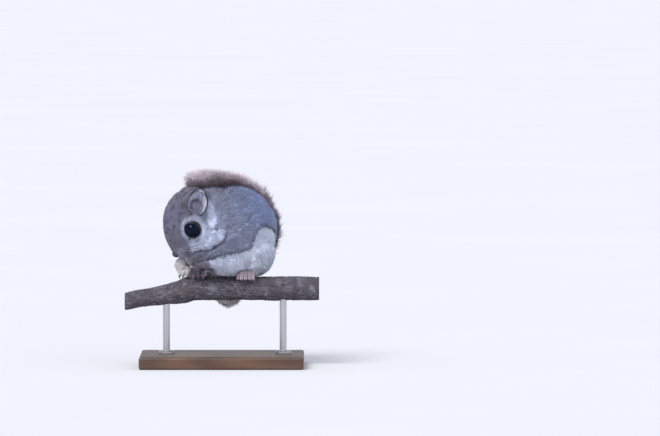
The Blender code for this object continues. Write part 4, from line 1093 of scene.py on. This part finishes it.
def make_ear(side, name):
    """The ear: outer and inner wall joined along the rim, with short hair on both and a fringe."""
    outer, outward, upward = ear_sheet(side)
    inner, _, _ = ear_sheet(side, wall=0.75)
    ear = make_mesh(name, *closed_rings(np.concatenate((outer, inner[:, ::-1]), 1)), EAR_SKIN)
    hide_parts(name)
    top, rim = EAR_ROWS - 1, EAR_COLUMNS - 1

    count = EAR_TUFTS
    i = (chance.random(count) ** 0.8 * top).astype(int)
    spread = chance.beta(0.7, 0.7, count)
    j = (spread * rim).astype(int)
    root = outer[i, j] + chance.normal(0, 0.1, (count, 3))
    normal = unit(outward[i, j])
    lie = unit(upward + normal * 0.1 + chance.normal(0, 0.12, (count, 3)))
    length = (1.5 + 0.7 * chance.random(count)) * (1 - 0.25 * np.abs(spread * 2 - 1))
    colour = np.where((i > EAR_ROWS * 0.75)[:, None], COAT["dark"], COAT["taupe"])
    short_hair(f"fur_{name}", root, normal, lie, length, 0.24, (8, 4), 0.05, colour)

    count = EAR_FRINGE
    i = (chance.random(count) * top).astype(int)
    spread = chance.beta(2.2, 2.2, count)
    j = (spread * rim).astype(int)
    normal = -unit(outward[i, j])
    turn = np.sign(spread - 0.5)[:, None] * -np.cross(upward, normal)
    lie = unit(upward * 0.8 + turn * 0.5 * side + chance.normal(0, 0.15, (count, 3)))
    short_hair(f"hair_in_{name}", inner[i, j], normal, lie, 1.7 + 1.2 * chance.random(count),
               0.16, (14, 8), 0.05, COAT["white"])

    u = chance.random(count)
    i = np.where(u < 0.6, (u / 0.6 * top).astype(int), top)
    j = np.where(u < 0.6, np.where(chance.random(count) < 0.5, 0, rim),
                 (chance.random(count) * rim).astype(int))
    root = outer[i, j] + chance.normal(0, 0.12, (count, 3))
    normal = unit(outward[i, j])
    lie = unit(upward + normal * 0.35 + chance.normal(0, 0.22, (count, 3)))
    short_hair(f"rim_hair_{name}", root, normal, lie, 1.1 + 1.0 * chance.random(count),
               0.22, (5, 25), 0.1, COAT["dark"])


make_ear(1, "ear_left")
make_ear(-1, "ear_right")


# Paws
def make_paw(name, palm, aim, count, spread, length, radius, drop, heel, skin, hair, fluff=1.0):
    """A palm and its toes with knuckles and pads, a curved claw on each toe, hair on the back."""
    palm = np.asarray(palm, float)
    forward = unit((*aim, 0))
    sideways = np.cross(forward, (0, 0, 1))
    upward = np.array((0, 0, 1.0))
    axes = np.array((sideways, forward, upward))
    parts = [ellipsoid(palm, (spread * 0.5, 4.2, 2.1), axes),
             tube((palm - forward * heel, palm - forward * heel / 2, palm), (2.1, 2.0, 1.8)),
             ellipsoid(palm + forward * 1.5 - upward * 2.2, (spread * 0.46, 3.4, 1.9), axes)]
    claws = []
    for i in range(count):
        place = i / (count - 1) - 0.5
        reach = length * (1 - 0.9 * place * place) * (1 + 0.07 * chance.standard_normal())
        place += 0.04 * chance.standard_normal()
        base = palm + sideways * place * spread * 0.72 + forward
        knuckle = palm + sideways * place * spread * 1.05 + forward * reach * 0.55 + upward * 0.6
        tip = palm + sideways * place * spread * 1.2 + forward * reach * 0.86 - upward * drop
        end = tip - forward * 0.9 - upward * 2.5
        parts.append(tube((base, knuckle, tip), np.array(TOE_RADII) * radius, count=22, sides=16,
                          squash=0.92))
        parts.append(ellipsoid(tip - upward * 0.25 - forward * 0.35, (radius * 0.95,) * 3, rows=14,
                               columns=18))
        start = tip + (knuckle - tip) * 0.16 + forward * 0.3
        claws.append(tube((start, tip + forward * 0.75 - upward * 0.7, end + forward * 0.2, end),
                          CLAW_RADII, count=16, sides=10, squash=0.7))
    points, triangles = join(parts)
    paw = make_mesh(name, points, triangles, skin)
    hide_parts(name)
    horn = make_mesh(f"claws_{name}", *join(claws), CLAW)
    middle = points[triangles].mean(1)
    weight = smooth(palm[2] - 2.5, palm[2] + 0.5, middle[:, 2]) + 0.001
    root, normal = scatter(points, triangles, point_normals(points, triangles), PAW_TUFTS, weight)
    top = normal[:, 2] + 0.6 * (normal @ forward) > 0.1
    root, normal = root[top], normal[top]
    lie = forward - upward * 0.3 + chance.normal(0, 0.16, (len(root), 3))
    colours = COAT[hair] * (1 + 0.1 * chance.standard_normal(len(root)))[:, None]
    short_hair(f"fur_{name}", root, normal, lie, chance.uniform(1.5, 3.0, len(root)) * fluff,
               0.24, (9, 5), 0.08, colours, (palm - 20, palm + 20))


HAND = dict(count=4, spread=8.0, length=8.0, radius=1.15, drop=3.2, heel=3, skin=HAND_SKIN,
            hair="wrist")
FOOT = dict(count=5, spread=9.5, length=10.0, radius=1.4, drop=3.6, heel=11, skin=FOOT_SKIN,
            hair="foot")
FAR_HAND = dict(skin=FOOT_SKIN, hair="far_arm", fluff=1.7)
make_paw("hand_left", *HAND_LEFT, **HAND)
make_paw("hand_right", *HAND_RIGHT, **(HAND | FAR_HAND))
make_paw("foot_left", *FOOT_LEFT, **FOOT)
make_paw("foot_right", *FOOT_RIGHT, **FOOT)


# Whiskers
def make_whiskers():
    """Long whiskers: root + way t L + sag t^2 L, from three rows on each lip pad."""
    parts = []
    t = np.array((0, 0.33, 0.66, 1.0))[:, None]
    droop = BACK * 0.16 - UP * 0.10
    for side, row, k in itertools.product((1, -1), range(3), range(4)):
        start = head_point((4.2 + 1.6 * k, 30.0 * side, -1.5 - 1.5 * row))
        place, normal, _, _ = full_tree.ray_cast(Vector(start), Vector(-LEFT * side))
        if place is None:
            continue
        root = np.array(place) - np.array(normal) * 0.6
        reach = (16 + 4.5 * k) * chance.uniform(0.85, 1.15)
        way = unit(LEFT * side + BACK * (0.10 + 0.12 * k) - UP * (0.20 + 0.14 * row)
                   + chance.normal(0, 0.05, 3))
        parts.append(tube(root + way * reach * t + droop * reach * t * t,
                          (0.08, 0.075, 0.06, 0.03), count=10, sides=5))
    whiskers = make_mesh("whiskers", *join(parts), WHISKER)


make_whiskers()


# Branch
def perch_middle(x):
    """Height of the branch's axis: level, then down to the left by 0.185 of the way."""
    return np.minimum(0.0, (x + 20) * 0.185)


def perch_radius(x):
    """Radius of the branch: 8.4, thinner to the left, with a knot near the bend."""
    share = np.clip((x + 52) / 26, 0, 1)
    return 6.2 + (PERCH_RADIUS - 6.2) * share + 0.8 * bell(x + 26, 5)


def make_branch():
    """Bark round a bent axis: radius + long ridges 0.30 |waves| + scales and small knots.

    A knot is rise exp(-(gap / size)^2) with a pit 1.5 rise exp(-(gap / (0.35 size))^2) in it.
    """
    rows, columns = 470, 170
    x = np.linspace(-PERCH_HALF_LENGTH, PERCH_HALF_LENGTH, rows)[:, None]
    a = turns(columns)[None]
    plain = perch_radius(x)
    flat = np.stack((x * np.ones_like(a), plain * np.cos(a), plain * np.sin(a)), -1).reshape(-1, 3)
    ridge = np.abs(waves(flat * (0.22, 1, 1), 3.0, 61)) * 0.30
    scale = waves(flat * (0.6, 1, 1), 1.5, 62) * 0.10 + waves(flat, 0.7, 63, 20) * 0.05
    swell = waves(flat * (0.5, 0.7, 0.7), 14, 64) * 0.22
    height = (ridge + scale + swell - 0.15).reshape(rows, columns)
    height += 0.16 * np.sin(5 * a + 0.06 * x)
    for x0, a0, size, rise in KNOTS:
        turn = (a - a0 + math.pi) % math.tau - math.pi
        gap = np.sqrt((x - x0) ** 2 + (plain * turn) ** 2)
        height += rise * bell(gap, size) - 1.5 * rise * bell(gap, 0.35 * size)
    end = smooth(0, 0.6, PERCH_HALF_LENGTH - np.abs(x))
    radius = (plain + height) * (0.965 + 0.035 * end)
    rings = np.stack((x * np.ones_like(a), radius * np.cos(a), perch_middle(x) + radius * np.sin(a)), -1)
    perch = make_mesh("perch", *closed_rings(rings), BARK)
    perch.data.materials.append(CUT_WOOD)
    slots = np.zeros(len(perch.data.polygons), np.int32)
    slots[-2 * columns:] = 1
    perch.data.polygons.foreach_set("material_index", slots)
    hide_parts("perch")


def bark_material():
    """Bark: grey-brown with dark cracks along it, pale lichen in blotches and a warm stain."""
    finish = Finish("bark", 0.85, Specular_IOR_Level=0.25)
    grain = finish.texture("Noise", (0.5, 1, 1), Scale=520.0, Detail=8.0, Roughness=0.65)
    blotch = finish.texture("Noise", Scale=110.0, Detail=6.0, Roughness=0.6)
    lichen = finish.texture("Noise", Scale=170.0, Detail=7.0, Roughness=0.7)
    stain = finish.texture("Noise", Scale=60.0, Detail=3.0)
    speck = finish.texture("Voronoi", Scale=480.0)

    def patched(source, middle, reach, gain):
        """Noise raised round a place, by the gain at its middle and by none at its reach."""
        gap = finish.add("VectorMath", "Value", finish.place, middle, operation="DISTANCE")
        near = finish.add("MapRange", Value=gap, From_Min=reach, From_Max=0.0)
        return finish.add("Math", 0, near, gain, source, operation="MULTIPLY_ADD")

    warm = patched(stain, (0.021, -0.012, 0.056), 0.012, 0.5)
    grown = patched(lichen, (-0.017, -0.012, 0.058), 0.014, 0.16)
    tone = linear(54, 51, 58)
    for source, low, high, colour in (
            (grain, 0.35, 0.66, (118, 113, 123)), (blotch, 0.46, 0.60, (79, 74, 82)),
            (stain, 0.56, 0.70, (90, 78, 83)), (warm, 0.86, 1.06, (104, 80, 84)),
            (grown, 0.57, 0.65, (118, 119, 131)), (speck, 0.16, 0.06, (107, 107, 119))):
        share = finish.add("MapRange", Value=source, From_Min=low, From_Max=high)
        tone = finish.mix(share, tone, linear(*colour))
    return finish.done(tone, grain, 0.7, 0.0012)


BARK = bark_material()
CUT_WOOD = two_toned("sawn_wood", 0.7, (linear(156, 128, 104), linear(206, 182, 154)),
                     dict(kind="Wave", stretch=(0, 1, 1), shift=(0, 0, -PERCH_HEIGHT * MM),
                          Scale=420.0, Distortion=1.6, Detail=2.0, wave_type="RINGS",
                          rings_direction="X"), (0.3, 0.0004))
make_branch()


# Stand
def stained_wood():
    """Dark stained wood with a long grain and figure, a little polished."""
    finish = Finish("stained_wood", 0.42, Coat_Weight=0.2, Coat_Roughness=0.3)
    along = (0.12, 1, 1)
    grain = finish.texture("Noise", along, Scale=420.0, Detail=8.0, Roughness=0.6)
    figure = finish.texture("Wave", along, Scale=38.0, Distortion=9.0, Detail=4.0)
    tone = finish.mix(figure, linear(92, 62, 44), linear(124, 88, 64))
    return finish.done(finish.mix(grain, linear(60, 40, 30), tone), grain, 0.15, 0.0004)


WOOD = stained_wood()
STEEL = two_toned("brushed_steel", 0.34, ((0.42, 0.42, 0.44), (0.62, 0.62, 0.64)),
                  dict(stretch=(1, 1, 0.05), Scale=2600.0, Detail=3.0), (0.08, 0.0002),
                  Metallic=1.0)
for node, finish in (("stand_base", WOOD), ("stand_rod_left", STEEL), ("stand_rod_right", STEEL)):
    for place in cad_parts[node].material_slots:
        place.material = finish


# Floor, light and camera
def make_floor():
    """A wide pale disc, a little uneven in tone."""
    count = 96
    a = turns(count)
    ring = np.stack((np.cos(a), np.sin(a), np.zeros(count)), -1) * FLOOR_RADIUS
    points = np.concatenate((ring, ((0, 0, 0),)))
    points[:, 2] = -PERCH_HEIGHT - 0.05
    triangles = np.stack((np.arange(count), (np.arange(count) + 1) % count, np.full(count, count)), -1)
    material = two_toned("pale_floor", 0.9, (linear(232, 232, 236), linear(240, 240, 243)),
                         dict(Scale=3.0, Detail=3.0))
    floor = make_mesh("floor", points, triangles, material, body=None)


make_floor()
scene = bpy.context.scene
world = bpy.data.worlds.new("studio")
scene.world = world
world.use_nodes = True
background = world.node_tree.nodes["Background"]
background.inputs["Color"].default_value = (0.86, 0.90, 1.0, 1)
background.inputs["Strength"].default_value = 0.62


def add_sun(name, way, strength, angle, colour=(1, 1, 1)):
    """A soft sun that shines along a direction."""
    light = bpy.data.lights.new(name, "SUN")
    light.energy = strength
    light.angle = math.radians(angle)
    light.color = colour
    obj = bpy.data.objects.new(name, light)
    obj.rotation_euler = Vector(way).to_track_quat("-Z", "Y").to_euler()
    scene.collection.objects.link(obj)


add_sun("key", (0.45, 0.75, -0.85), 2.2, 28)
add_sun("fill", (-0.7, 0.6, -0.3), 0.5, 60, (0.9, 0.94, 1.0))
add_sun("bounce", (0.25, 0.9, 0.45), 0.6, 90, (0.94, 0.96, 1.0))

DISTANCE = 5.0
ELEVATION = math.radians(2.6)
SENSOR = 36
VIEW_WIDTH = 660 * 0.72 * MM
VIEW_MIDDLE = (77.8 * MM, 0, 106.8 * MM)
camera = bpy.data.cameras.new("camera")
camera.sensor_width = SENSOR
camera.lens = SENSOR * DISTANCE / VIEW_WIDTH
camera.clip_end = 100
eye = bpy.data.objects.new("camera", camera)
scene.collection.objects.link(eye)
view = Vector((0, math.cos(ELEVATION), -math.sin(ELEVATION)))
eye.location = Vector(VIEW_MIDDLE) - view * DISTANCE
eye.rotation_euler = view.to_track_quat("-Z", "Y").to_euler()
scene.camera = eye

scene.view_settings.view_transform = "Standard"
